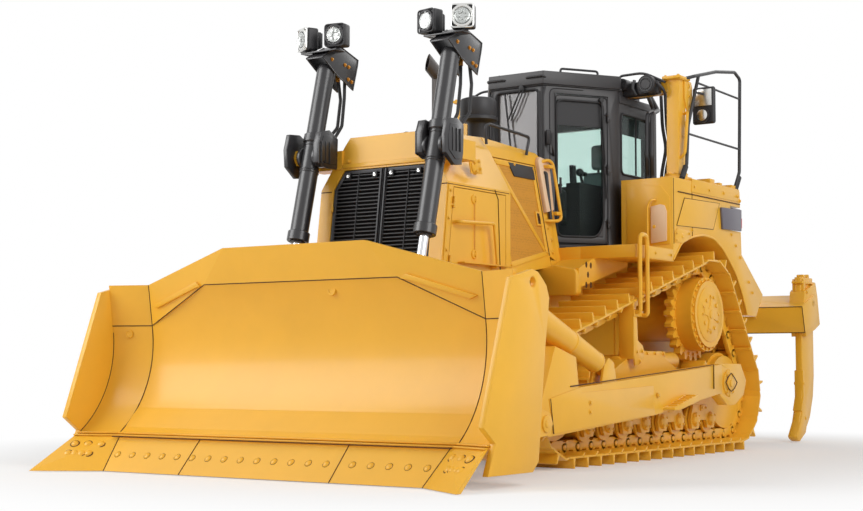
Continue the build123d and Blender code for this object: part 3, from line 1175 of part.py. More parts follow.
def link_pair():
    """Lower links, each a box arm with an eye at both ends, and their cross tube."""
    pieces = None
    a = Vector(LINK_FRONT_X, 0, LINK_FRONT_Z)
    b = Vector(LINK_REAR_X, 0, LINK_REAR_Z)
    run = (b - a).normalized()
    up = Vector(-run.Z, 0, run.X) * -1
    for sign in (-1, 1):
        y = sign * LINK_Y
        arm = None
        web = [a + run * 60 + up * 60, b - run * 60 + up * 60, b - run * 60 - up * 60, a + run * 60 - up * 60]
        arm = polygon([Vector(p.X, y - 40, p.Z) for p in web], (0, 80, 0))
        arm = arm + cross_bar(a.X, a.Z, y - 40, y + 40, 85) + cross_bar(b.X, b.Z, y - 40, y + 40, 85)
        arm = arm - cross_bar(a.X, a.Z, y - 60, y + 60, 40 + PIN_PLAY)
        arm = arm - cross_bar(b.X, b.Z, y - 60, y + 60, 40 + PIN_PLAY)
        pieces = arm if pieces is None else pieces + arm
    middle = a + (b - a) * 0.62
    return pieces + cross_bar(middle.X, middle.Z, -LINK_Y, LINK_Y, 50)


BEAM_SECTION = [(-3426, 1433), (-3498, 1160), (-3895, 1285), (-3817, 1575)]


def ripper_beam():
    body = plate(BEAM_SECTION, -BEAM_HALF, BEAM_HALF)
    for y in (-SHANK_Y, 0, SHANK_Y):
        pocket = plate([(-3540, 1390), (-3610, 1120), (-3880, 1205), (-4010, 1260), (-3950, 1560), (-3900, 1700),
                        (-3580, 1600)], y - SHANK_THICK / 2 - 45, y + SHANK_THICK / 2 + 45)
        body = body + pocket
    for y in (-SHANK_Y, 0, SHANK_Y):
        body = body - plate([(-3590, 2000), (-3590, 900), (-3935, 900), (-3935, 2000)],
                            y - SHANK_THICK / 2 - SEAT, y + SHANK_THICK / 2 + SEAT)
    low = [(-3470, 1260), (LINK_REAR_X - 30, LINK_REAR_Z + 110), (LINK_REAR_X + 70, LINK_REAR_Z + 60),
           (LINK_REAR_X + 75, LINK_REAR_Z - 50), (LINK_REAR_X, LINK_REAR_Z - 90), (-3600, 1130), (-3620, 1250)]
    high = [(-3470, 1300), (LINK_REAR_X + 60, LINK_REAR_Z + LINK_RISE - 70),
            (LINK_REAR_X + 80, LINK_REAR_Z + LINK_RISE + 20), (LINK_REAR_X, LINK_REAR_Z + LINK_RISE + 75),
            (-3560, 1530), (-3620, 1400)]
    for outline, y, inner, thick, z, r in (
            (low, LINK_Y, 48, 30, LINK_REAR_Z, 40), (high, TILT_RIPPER_Y, 44, 30, LINK_REAR_Z + LINK_RISE, 36)):
        for sign in (-1, 1):
            for side in (-1, 1):
                near = sign * y + side * inner
                far = sign * y + side * (inner + thick)
                body = body + plate(outline, min(near, far), max(near, far))
            a, b = sorted((sign * (y - inner - thick), sign * (y + inner + thick)))
            body = body + cross_bar(LINK_REAR_X, z, a, b, r)
    for sign in (-1, 1):
        for side in (-1, 1):
            near = sign * RIPPER_CYL_Y + side * 52
            far = sign * RIPPER_CYL_Y + side * 82
            body = body + plate(high, min(near, far), max(near, far))
            end = sign * RIPPER_CYL_Y + side * 98
            body = body + cross_bar(LINK_REAR_X, LINK_REAR_Z + LINK_RISE, min(far, end), max(far, end), 55)
    return body


def shank(y):
    tip = SHANK_TIP_CLEAR
    outline = [(-3594, 1760), (-3594, 700), (-3575, 450), (-3490, 200), (-3375, 60 + tip), (-3395, 30 + tip),
               (-3470, tip), (-3640, 90), (-3800, 260), (-3895, 480), (-3930, 700), (-3930, 1760)]
    return plate(outline, y - SHANK_THICK / 2, y + SHANK_THICK / 2)


put("ripper_bracket", ripper_bracket())
put("ripper_links", link_pair())
put("ripper_beam", ripper_beam())
put("ripper_shanks", *[shank(y) for y in (-SHANK_Y, 0, SHANK_Y)])


def strut(start, end, y, barrel_r, bore_r, rod_r, barrel_length, rod_start, eye_half, pin_r, end_pin_r, eye_r):
    """Cylinder between two pins at one y: the barrel on the start pin and the rod to the end pin."""
    a = Vector(start[0], y, start[1])
    b = Vector(end[0], y, end[1])
    run = (b - a).normalized()
    tube = bar(tuple(a + run * 115), tuple(a + run * barrel_length), barrel_r)
    tube = tube - bar(tuple(a + run * 145), tuple(a + run * (barrel_length - 30)), bore_r)
    tube = tube - bar(tuple(a + run * (barrel_length - 40)), tuple(a + run * (barrel_length + 1)), rod_r + PIN_PLAY)
    tube = tube + cross_bar(a.X, a.Z, y - eye_half, y + eye_half, eye_r)
    tube = tube + bar(tuple(a + run * (eye_r - 20)), tuple(a + run * 130), eye_half - 2)
    tube = tube - cross_bar(a.X, a.Z, y - eye_half - 1, y + eye_half + 1, pin_r + PIN_PLAY)
    rod = bar(tuple(a + run * rod_start), tuple(b - run * (eye_r - 15)), rod_r)
    rod = rod + cross_bar(b.X, b.Z, y - eye_half, y + eye_half, eye_r)
    if end_pin_r:
        rod = rod - cross_bar(b.X, b.Z, y - eye_half - 1, y + eye_half + 1, end_pin_r + PIN_PLAY)
    return tube, rod


lower_pin = (LINK_FRONT_X, RIPPER_CYL_LOW)
upper_pin = (LINK_REAR_X, LINK_REAR_Z + LINK_RISE)
lift_barrel_r, lift_rod_r = strut(lower_pin, upper_pin, RIPPER_CYL_Y, 80, 62, 38, 1060, 640, 38, 36, 0, 70)
put("ripper_lift_barrels", *both(lift_barrel_r))
put("ripper_lift_rods", *both(lift_rod_r))
tilt_pin = (LINK_FRONT_X, LINK_FRONT_Z + LINK_RISE)
tilt_barrel_r, tilt_rod_r = strut(tilt_pin, upper_pin, TILT_RIPPER_Y, 78, 60, 36, 800, 500, 38, 36, 36, 68)
put("ripper_tilt_cylinders", *both(tilt_barrel_r, tilt_rod_r))

# ================================================================ output
low_x = min(solid.bounding_box().min.X for solids in NODES.values() for solid in solids)
high_x = max(solid.bounding_box().max.X for solids in NODES.values() for solid in solids)
SHIFT = -(low_x + high_x) / 2

if __name__ == "__main__":
    os.makedirs("parts", exist_ok=True)
    for name, solids in NODES.items():
        moved = [solid.moved(Location((SHIFT, 0, 0))) for solid in solids]
        export_step(Compound(moved), os.path.join("parts", name + ".step"))
    print("nodes", len(NODES), "shift", round(SHIFT, 3), "link pitch", round(LINK_PITCH, 2))
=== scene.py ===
import json
import math

import bpy
from mathutils import Matrix, Vector

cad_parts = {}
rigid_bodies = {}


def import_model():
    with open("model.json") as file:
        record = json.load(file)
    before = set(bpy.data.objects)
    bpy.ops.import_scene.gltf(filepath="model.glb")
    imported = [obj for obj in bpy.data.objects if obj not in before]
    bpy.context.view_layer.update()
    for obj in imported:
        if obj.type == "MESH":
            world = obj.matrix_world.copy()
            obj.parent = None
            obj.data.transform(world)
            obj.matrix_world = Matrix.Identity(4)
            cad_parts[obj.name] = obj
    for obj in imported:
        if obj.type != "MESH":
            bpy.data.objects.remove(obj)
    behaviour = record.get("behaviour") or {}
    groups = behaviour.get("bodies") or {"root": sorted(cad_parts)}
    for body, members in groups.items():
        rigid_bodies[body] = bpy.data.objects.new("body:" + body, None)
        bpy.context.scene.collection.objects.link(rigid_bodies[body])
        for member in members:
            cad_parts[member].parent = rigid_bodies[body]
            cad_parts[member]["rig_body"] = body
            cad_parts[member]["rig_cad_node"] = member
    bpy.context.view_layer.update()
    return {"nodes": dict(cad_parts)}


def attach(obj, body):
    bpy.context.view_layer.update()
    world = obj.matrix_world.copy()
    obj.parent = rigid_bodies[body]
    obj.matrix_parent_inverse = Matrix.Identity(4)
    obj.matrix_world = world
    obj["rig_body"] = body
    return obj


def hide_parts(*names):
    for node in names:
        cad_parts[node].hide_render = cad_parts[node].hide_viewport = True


bl_info = {
    "name": "Track-type Dozer Looks",
    "version": (1, 0, 0),
    "blender": (4, 5, 0),
    "location": "View3D > Sidebar > Dozer",
    "description": "Builds the visible pieces, finishes and stage of a track-type dozer",
    "category": "Object",
}

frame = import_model()
SHIFT = -72.5              # mm, from the middle of the ground run to the model's origin
SIDES = ((1, "left"), (-1, "right"))

# stations in millimetres; two numbers are x and z unless they say otherwise
IDLER_X, IDLER_Z = 1603, 558
DRIVE = (-1070, 1286)      # the final drive's centre
# the wheels that carry the chain: x, z, radius at its pins
WHEELS = ((-IDLER_X, IDLER_Z, 404), (IDLER_X, IDLER_Z, 404), DRIVE + (430,))
LINKS = 44
TRACK_Y = 1041
TRUNNION = (-920, 648)     # the push arms' pivot on the track frame
TILT_PIN = (1330, 790)     # lower pin of the tilt cylinders
YOKE = (2450, 2500)        # the lift cylinders' trunnions
LIFT_EYE = (2880, 700)     # where their rods meet the blade
LIFT_Y = 627
WING_Y, BLADE_Y = 1600, 1925       # where the blade's wings begin, and its end plates
CROWN_Y = 928                      # half the raised middle of its top edge
FOLD_Z, BREAK_Z = 1125, 1429       # foot and top of the plate above the wings
GUARD_Y = 628              # face of the radiator guard and its side doors
HOOD_Y, HOOD_Z, HOOD_LEAN = 605, 1485, 0.1897      # foot of the hood's side, and its lean inwards
FENDER_Y = 1298
STACK = (1251, -200)       # x and y
INTAKE_X = 930
ROPS_POST = (-600, 1165)   # x and y
RIPPER_X = -2280           # pins of the ripper's links and cylinders on their bracket


# ------------------------------------------------------------------ modelling
def at(x, y, z):
    """A point in millimetres from the ground run's middle, as metres from the model's origin."""
    return Vector((x + SHIFT, y, z)) / 1000


def free():
    if bpy.context.mode != "OBJECT":
        bpy.ops.object.mode_set(mode="OBJECT")
    bpy.ops.object.select_all(action="DESELECT")


def hold(obj):
    """Only this object selected and active."""
    free()
    obj.select_set(True)
    bpy.context.view_layer.objects.active = obj
    return obj


def apply_modifier(obj, kind, **settings):
    modifier = hold(obj).modifiers.new(kind.title(), kind)
    for name, value in settings.items():
        setattr(modifier, name, value)
    bpy.ops.object.modifier_apply(modifier=modifier.name)
    return obj


def soften(obj, width, segments=2, limit=35):
    """Rounds by millimetres the edges that are sharper than a limit in degrees."""
    return apply_modifier(obj, "BEVEL", width=width / 1000, segments=segments, limit_method="ANGLE",
                          angle_limit=math.radians(limit))


def mirrored(obj):
    """Adds the same on the machine's right."""
    return apply_modifier(obj, "MIRROR", use_axis=(False, True, False), use_mirror_merge=False)


def settle(bevel=0, segments=2):
    """Puts a new primitive's place in its mesh and rounds its edges."""
    obj = bpy.context.object
    hold(obj)
    bpy.ops.object.transform_apply(location=True, rotation=True, scale=True)
    if bevel:
        soften(obj, bevel, segments, 28)
    return obj


def edit(obj, kind="VERT", test=None):
    """Edit mode, with everything selected or only the parts that a test accepts."""
    hold(obj)
    mesh = obj.data
    bpy.context.tool_settings.mesh_select_mode = (kind == "VERT", kind == "EDGE", kind == "FACE")
    parts = {"VERT": mesh.vertices, "EDGE": mesh.edges, "FACE": mesh.polygons}[kind]
    for group in (mesh.vertices, mesh.edges, mesh.polygons):
        group.foreach_set("select", [False] * len(group))
    for part in parts:
        part.select = test is None or test(part)
    bpy.ops.object.mode_set(mode="EDIT")


def tidy(obj, gap=1e-5):
    """Merges doubles and turns the faces outwards."""
    edit(obj)
    bpy.ops.mesh.select_all(action="SELECT")
    bpy.ops.mesh.remove_doubles(threshold=gap)
    bpy.ops.mesh.normals_make_consistent(inside=False)
    free()
    return obj


def block(x, y, z, bevel=0, segments=2):
    """Box between pairs of millimetre limits."""
    free()
    low, high = at(x[0], y[0], z[0]), at(x[1], y[1], z[1])
    bpy.ops.mesh.primitive_cube_add(size=1, location=(low + high) / 2, scale=high - low)
    return settle(bevel, segments)


def rod(start, end, radius, sides=20, bevel=0):
    """Round bar between two millimetre points."""
    free()
    a, b = at(*start), at(*end)
    bpy.ops.mesh.primitive_cone_add(vertices=sides, radius1=radius / 1000, radius2=radius / 1000,
                                    depth=(b - a).length, location=(a + b) / 2,
                                    rotation=(b - a).to_track_quat("Z", "Y").to_euler())
    return settle(bevel)


def cross_pin(x, y, z, half, radius, sides=24, bevel=6):
    """Round bar across the machine, reaching this far each way."""
    return rod((x, y - half, z), (x, y + half, z), radius, sides, bevel)


def draw(points):
    """Line of edges drawn corner by corner, left in edit mode with its last corner selected."""
    free()
    bpy.ops.mesh.primitive_plane_add(size=0.01, location=(0, 0, 0))
    bpy.ops.object.mode_set(mode="EDIT")
    bpy.context.tool_settings.mesh_select_mode = (True, False, False)
    bpy.ops.mesh.select_all(action="SELECT")
    bpy.ops.mesh.merge(type="CENTER")
    bpy.ops.transform.translate(value=points[0])
    for before, after in zip(points, points[1:]):
        bpy.ops.mesh.extrude_vertices_move(TRANSFORM_OT_translate={"value": after - before})
    return bpy.context.object


def outline(points, push, bevel=0, segments=2):
    """Flat shape drawn through millimetre points, filled and pushed along a vector."""
    corners = [at(*point) for point in points]
    draw(corners + corners[:1])
    bpy.ops.mesh.select_all(action="SELECT")
    bpy.ops.mesh.remove_doubles(threshold=1e-5)
    bpy.ops.mesh.edge_face_add()
    bpy.ops.mesh.extrude_region_move(TRANSFORM_OT_translate={"value": Vector(push) / 1000})
    bpy.ops.mesh.select_all(action="SELECT")
    bpy.ops.mesh.normals_make_consistent(inside=False)
    return settle(bevel, segments)


def side_shape(points, y0, y1, bevel=0):
    """Shape seen from the side, given by (x, z) corners."""
    return outline([(x, y0, z) for x, z in points], (0, y1 - y0, 0), bevel)


def rounded(points, bend, steps=4):
    """The points with their inner corners replaced by short arcs."""
    path = [Vector(point) for point in points]
    made = [path[0]]
    for before, corner, after in zip(path, path[1:], path[2:]):
        back, ahead = before - corner, after - corner
        reach = min(bend, back.length * 0.48, ahead.length * 0.48)
        a, b = corner + back.normalized() * reach, corner + ahead.normalized() * reach
        for i in range(steps + 1):
            t = i / steps
            made.append(a * (1 - t) ** 2 + corner * (2 * t * (1 - t)) + b * t ** 2)
    return made + [path[-1]]


def tube(points, radius, bend=0, sides=2):
    """Round tube through millimetre points."""
    obj = draw([at(*point) for point in (rounded(points, bend) if bend else points)])
    free()
    hold(obj)
    bpy.ops.object.convert(target="CURVE")
    curve = bpy.context.object.data
    curve.bevel_depth = radius / 1000
    curve.bevel_resolution = sides
    curve.use_fill_caps = True
    bpy.ops.object.convert(target="MESH")
    return tidy(bpy.context.object)


def lathe(profile, centre, axis, steps=24):
    """(radius, distance along the axis) pairs in millimetres, spun round an axis."""
    along = Vector(axis).normalized()
    across = along.orthogonal().normalized()
    middle = Vector(centre)
    obj = draw([at(*(middle + along * far + across * radius)) for radius, far in profile])
    bpy.ops.mesh.select_all(action="SELECT")
    bpy.ops.mesh.spin(steps=steps, angle=2 * math.pi, center=at(*centre), axis=along)
    return tidy(obj)


def sleeve(start, end, radius, hole, bevel=5, sides=36):
    """Round collar with a bore between two millimetre points."""
    run = Vector(end) - Vector(start)
    far = run.length
    shape = [(hole, 0), (radius - bevel, 0), (radius, bevel), (radius, far - bevel), (radius - bevel, far),
             (hole, far)]
    return lathe(shape, start, run, sides)


def join(parts):
    """Makes one object of several, which stays selected."""
    if len(parts) > 1:
        free()
        for part in parts:
            part.select_set(True)
        bpy.context.view_layer.objects.active = parts[0]
        bpy.ops.object.join()
    return hold(parts[0])


def stand(point, out, along=None):
    """Matrix that stands a piece, modelled at zero with +Z up, on a point facing out."""
    z = Vector(out).normalized()
    x = Vector(along) if along else z.orthogonal()
    x = (x - z * x.dot(z)).normalized()
    turn = Matrix((x, z.cross(x), z)).transposed().to_4x4()
    return Matrix.Translation(at(*point)) @ turn @ Matrix.Translation(-at(0, 0, 0))


def copies(source, places):
    """A copy of the source at each place, each with its own mesh, joined; the source goes."""
    made = []
    for place in places:
        twin = source.copy()
        twin.data = source.data.copy()
        bpy.context.collection.objects.link(twin)
        twin.matrix_world = place
        made.append(twin)
    bpy.data.objects.remove(source)
    bpy.context.view_layer.update()
    obj = join(made)
    bpy.ops.object.transform_apply(location=True, rotation=True, scale=True)
    return obj


def bolts(places, radius=16, height=13):
    """Hex bolts on washers at (point, direction) places."""
    washer = rod((0, 0, -2), (0, 0, 4), radius * 1.5, 14)
    head = rod((0, 0, 3), (0, 0, height + 3), radius, 6, bevel=radius * 0.12)
    return copies(join([washer, head]), [stand(point, out) for point, out in places])


def turns(count, start=0):
    """Angles spaced evenly round a circle."""
    return [math.tau * (i + start) / count for i in range(count)]


def circle(x, y, z, radius, angles):
    """(point, direction) places round a centre on a side face."""
    return [((x + radius * math.cos(a), y, z + radius * math.sin(a)), (0, 1, 0)) for a in angles]


def side_bolts(y, places, radius, height):
    """Bolts on a side face at (x, z) places."""
    return bolts([((x, y, z), (0, 1, 0)) for x, z in places], radius, height)


def from_frame(node, bevel, segments=2):
    """Copy of a frame piece with its triangles merged into flat faces and its edges rounded."""
    source = frame["nodes"][node]
    obj = source.copy()
    obj.data = source.data.copy()
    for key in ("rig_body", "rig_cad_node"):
        del obj[key]
    obj.parent = None
    bpy.context.collection.objects.link(obj)
    edit(obj)
    bpy.ops.mesh.select_all(action="SELECT")
    bpy.ops.mesh.remove_doubles(threshold=2e-4)
    bpy.ops.mesh.dissolve_limited(angle_limit=math.radians(0.6))
    free()
    if bevel:
        soften(obj, bevel, segments)
    return obj


def turned(parts, angle, axis, pivot, shift=None):
    """Joins parts and turns them about an axis through a millimetre point, then moves them."""
    obj = join(parts)
    edit(obj)
    bpy.ops.transform.rotate(value=-angle, orient_axis=axis, center_override=at(*pivot))
    if shift:
        bpy.ops.transform.translate(value=Vector(shift) / 1000)
    free()
    return obj


def flipped(parts):
    """Joins parts and mirrors them to the machine's right."""
    obj = join(parts)
    edit(obj)
    bpy.ops.transform.mirror(constraint_axis=(False, True, False), center_override=(0, 0, 0))
    bpy.ops.mesh.normals_make_consistent(inside=False)
    free()
    return obj


def sided(parts, side):
    """Joins parts made for the left, mirrored where the side is the right."""
    return flipped(parts) if side < 0 else join(parts)


def trim(obj, test):
    """Deletes the faces that a test accepts and closes what is left."""
    edit(obj, "FACE", test)
    bpy.ops.mesh.delete(type="FACE")
    bpy.ops.mesh.select_all(action="SELECT")
    bpy.ops.mesh.fill_holes(sides=0)
    bpy.ops.mesh.normals_make_consistent(inside=False)
    free()
    return obj


def piece(parts, name, finish, body="chassis", mirror=False, smooth=35, stands_for=()):
    """Joins parts into one finished piece that rides on a body."""
    obj = join(list(parts))
    if mirror:
        mirrored(obj)
    obj.name = obj.data.name = name
    obj.data.materials.clear()
    obj.data.materials.append(bpy.data.materials[finish])
    hold(obj)
    bpy.ops.object.shade_smooth_by_angle(angle=math.radians(smooth))
    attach(obj, body)
    if stands_for:
        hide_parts(*stands_for)
    return obj


def stand_in(node, name, bevel, tone, body="chassis", segments=2, smooth=35):
    """Shows a frame piece with its edges rounded."""
    return piece([from_frame(node, bevel, segments)], name, tone, body, smooth=smooth, stands_for=(node,))


def coat(finish, *nodes):
    """Gives frame pieces that stay their finish."""
    for name in nodes:
        mesh = frame["nodes"][name].data
        mesh.materials.clear()
        mesh.materials.append(bpy.data.materials[finish])


# ------------------------------------------------------------------ finishes
YELLOW = "Yellow machine enamel"
DARK = "Charcoal cab enamel"
BLACK = "Black satin cylinder enamel"
CHROME = "Hard chrome rod"
EXHAUST = "Heat darkened exhaust steel"
GLASS = "Tinted safety glass"
PLASTIC = "Moulded black polypropylene"
RUBBER = "Extruded black rubber"
CLOTH = "Woven seat cloth"
RED = "Red lamp acrylic"
LENS = "Clear lamp polycarbonate"
REFLECTOR = "Bright lamp reflector"
BRASS = "Zinc yellow plated fitting"
CORE = "Radiator core"
PALE = "Pale primer panel"
GREY = "Moulded grey polycarbonate"
SCREEN = "Grey tinted windscreen"
SEAM_SHADE = "Seam shadow enamel"
MESH = "Perforated steel screen"
SEAM_R = 4                 # radius of the lines that show a joint or weld


def linear(text):
    """sRGB hex to a linear colour."""
    values = [int(text[i:i + 2], 16) / 255 for i in (1, 3, 5)]
    return [v / 12.92 if v <= 0.04045 else ((v + 0.055) / 1.055) ** 2.4 for v in values] + [1.0]


def add(tree, kind, settings=(), links=()):
    """Adds a node; settings are sockets by name or properties, links are (socket, node, output)."""
    made = tree.nodes.new(kind)
    for name, value in dict(settings).items():
        if name in made.inputs:
            made.inputs[name].default_value = value
        else:
            setattr(made, name, value)
    for socket, source, output in links:
        tree.links.new(source.outputs[output], made.inputs[socket])
    return made


def finish(name, base, rough, metal=0.0, mottle=0.0, patch=400, grain=0.0, grain_size=1.0, edge=0.0, **more):
    """Principled finish with a mottle of patches this many millimetres wide, and a fine grain."""
    material = bpy.data.materials.new(name)
    material.use_nodes = True
    tree = material.node_tree
    shader = tree.nodes["Principled BSDF"]
    settings = {"Base Color": linear(base), "Roughness": rough, "Metallic": metal, **more}
    for socket, value in settings.items():
        shader.inputs[socket].default_value = value
    place = add(tree, "ShaderNodeTexCoord")
    normal = add(tree, "ShaderNodeBevel", {"samples": 4, "Radius": edge / 1000}) if edge else None
    if mottle:
        noise = add(tree, "ShaderNodeTexNoise", {"Scale": 1000 / patch, "Detail": 4.0, "Roughness": 0.6},
                    [("Vector", place, "Object")])
        tone = add(tree, "ShaderNodeMapRange", {"From Min": 0.3, "From Max": 0.7, "To Min": 1 - mottle,
                                               "To Max": 1 + mottle * 0.4}, [("Value", noise, "Fac")])
        mix = add(tree, "ShaderNodeHueSaturation", {"Color": linear(base)}, [("Value", tone, "Result")])
        tree.links.new(mix.outputs["Color"], shader.inputs["Base Color"])
    if grain:
        fine = add(tree, "ShaderNodeTexNoise", {"Scale": 1000 / grain_size, "Detail": 2.0},
                   [("Vector", place, "Object")])
        bump = add(tree, "ShaderNodeBump", {"Strength": grain, "Distance": 0.001}, [("Height", fine, "Fac")])
        if normal:
            tree.links.new(normal.outputs["Normal"], bump.inputs["Normal"])
        normal = bump
    if normal:
        tree.links.new(normal.outputs["Normal"], shader.inputs["Normal"])
    return material


def make_finishes(tones, sizes):
    # sprayed two-part enamel: an even, half-gloss yellow with a faint orange peel, rounded at its edges
    finish(YELLOW, tones.yellow, 0.42, mottle=0.05, patch=500, grain=0.05, grain_size=9,
           edge=sizes.edge * 1000,
           **{"Coat Weight": 0.22, "Coat Roughness": 0.16, "Specular IOR Level": 0.35})
    # the same enamel in the shade of a joint: a painted shade, also put in holes, recesses and sunk seats
    finish(SEAM_SHADE, "#4E2C0A", 0.8)
    # textured powder coat: dark grey, half matt
    finish(DARK, tones.cab, 0.45, mottle=0.06, patch=300, grain=0.10, grain_size=5, edge=5)
    # sprayed enamel over smooth steel: black with a soft shine
    finish(BLACK, tones.cylinder, 0.32, edge=4, **{"Coat Weight": 0.25, "Coat Roughness": 0.2})
    # ground and plated steel: a clear mirror along the rod
    finish(CHROME, "#D9DADC", 0.08, metal=1.0)
    # bare steel pipe that heat has dulled in patches
    finish(EXHAUST, "#5E5A58", 0.55, metal=0.7, mottle=0.25, patch=120)
    # toughened panes: clear with a green cast; the low IOR stands for a thin sheet
    finish(GLASS, tones.glass, 0.02, **{"Transmission Weight": 1.0, "IOR": 1.15})
    # moulded polypropylene with a fine spark texture
    finish(PLASTIC, "#29282A", 0.5, grain=0.15, grain_size=3, edge=3)
    # laminated pane: a grey film that veils the cab behind it
    finish(SCREEN, "#A5A2A3", 0.06, **{"Transmission Weight": 0.55, "IOR": 1.45})
    # extruded seals and hoses: matt black
    finish(RUBBER, "#1D1C1E", 0.6)
    # woven upholstery: a dull grey with a thread every few millimetres
    finish(CLOTH, "#6C7A7C", 0.9, grain=0.3, grain_size=4, **{"Sheen Weight": 0.3})
    # moulded acrylic: a glossy, even red
    finish(RED, "#F01818", 0.15, **{"Coat Weight": 0.5})
    # moulded polycarbonate: clear
    finish(LENS, "#F4F6F6", 0.03, **{"Transmission Weight": 1.0, "IOR": 1.5})
    # vacuum plated cup: a bright, slightly soft mirror
    finish(REFLECTOR, "#D9D9D6", 0.28, metal=1.0)
    # chromate plating: a warm dull gold
    finish(BRASS, "#C88A2C", 0.35, metal=0.6)
    # cooling fins and castings in the shade: dull and dark
    finish(CORE, "#2A2622", 0.8)
    # primed sheet steel: a pale, flat tone
    finish(PALE, "#F0CDA8", 0.5, mottle=0.04, patch=200)
    # moulded lamp body: a plain mid grey
    finish(GREY, "#66616A", 0.35, edge=4)
    # punched steel sheet: holes in a close pattern, drawn 22 mm apart, which is as coarse as it needs to
    # show; the sheet is darker than the yellow and the holes darker still, both painted shade from the dark
    # space behind
    sheet = "#D2922A"
    tree = finish(MESH, sheet, 0.6).node_tree
    shader = tree.nodes["Principled BSDF"]
    place = add(tree, "ShaderNodeTexCoord")
    cells = add(tree, "ShaderNodeTexVoronoi", {"Scale": 1000 / 22, "Randomness": 0.35},
                [("Vector", place, "Object")])
    hole = add(tree, "ShaderNodeMapRange",
               {"From Min": 0.30, "From Max": 0.42, "To Min": 0.86, "To Max": 1.0},
               [("Value", cells, "Distance")])
    shade = add(tree, "ShaderNodeHueSaturation", {"Color": linear(sheet)}, [("Value", hole, "Result")])
    tree.links.new(shade.outputs["Color"], shader.inputs["Base Color"])


# ------------------------------------------------------------------ tracks
def chain_stations(phase):
    """(x, z, outward angle) of each link along the chain's pitch line."""
    around = WHEELS[1:] + WHEELS[:1]
    lean = []
    for (x0, z0, r0), (x1, z1, r1) in zip(WHEELS, around):
        lean.append(math.atan2(z1 - z0, x1 - x0) - math.acos((r0 - r1) / math.hypot(x1 - x0, z1 - z0)))
    parts = []
    for i, ((x, z, r), (x1, z1, r1)) in enumerate(zip(WHEELS, around)):
        parts += [(x, z, r, lean[i], math.sqrt((x1 - x) ** 2 + (z1 - z) ** 2 - (r1 - r) ** 2), False),
                  (x1, z1, r1, lean[i], r1 * ((lean[(i + 1) % 3] - lean[i]) % (2 * math.pi)), True)]
    total = sum(part[4] for part in parts)
    stations = []
    for link in range(LINKS):
        far = (link + phase) * total / LINKS % total
        for x, z, r, angle, length, arc in parts:
            if far <= length:
                turn = angle + (far / r if arc else 0)
                far = 0 if arc else far
                stations.append((x + r * math.cos(turn) - far * math.sin(turn),
                                 z + r * math.sin(turn) + far * math.cos(turn), turn))
                break
            far -= length
    return stations, total / LINKS


def chain_places(phase, y):
    """Matrices that stand a piece on each link of one chain, facing out."""
    return [stand((x, y, z), (math.cos(a), 0, math.sin(a)), (-math.sin(a), 0, math.cos(a)))
            for x, z, a in chain_stations(phase)[0]]


def build_tracks(sizes):
    pitch = chain_stations(0)[1]
    # shoe: plate with a turned-down lip, a grouser and four bolts; +x along the chain, +z outwards
    shoe = [side_shape([(-0.80 * pitch, 38), (-0.62 * pitch, 74), (0.35 * pitch, 77), (0.42 * pitch, 58),
                        (-0.56 * pitch, 59), (-0.77 * pitch, 28)], -280, 280, 2),
            side_shape([(-17, 72), (17, 72), (9, 153.5), (-9, 153.5)], -280, 280, 3),
            bolts([((x, y, 76), (0, 0, 1)) for x in (-95, -45) for y in (-95, 95)], sizes.bolt * 1000, 10)]
    shoes = copies(join(shoe), chain_places(0.72, TRACK_Y))
    half = pitch / 2
    arc = [math.radians(a) for a in (100, 130, 160, 190, 220, 245)]
    plate = [(-half + 44 * math.cos(a), 44 * math.sin(a)) for a in arc]
    plate += [(-half + 34, -57.5), (half - 48, -57.5)]
    plate += [(half + 40 * math.cos(a), 40 * math.sin(a))
              for a in [math.radians(d) for d in (-105, -60, -20, 20, 60)]]
    plate += [(half - 26, 59), (half - 62, 59), (half - 76, 22), (-half + 76, 22), (-half + 62, 59),
              (-half + 24, 59)]
    link = [side_shape(plate, y0, y1, 3) for y0, y1 in ((66, 110), (-110, -66))]
    link += [rod((-half, -119, 0), (-half, 119, 0), 24, 12, 3), block((-16, 16), (108, 117), (-46, -22), 3)]
    links = copies(join(link), chain_places(0.62, TRACK_Y))
    piece([shoes, links], "tracks", YELLOW, mirror=True, smooth=30, stands_for=("track_left", "track_right"))


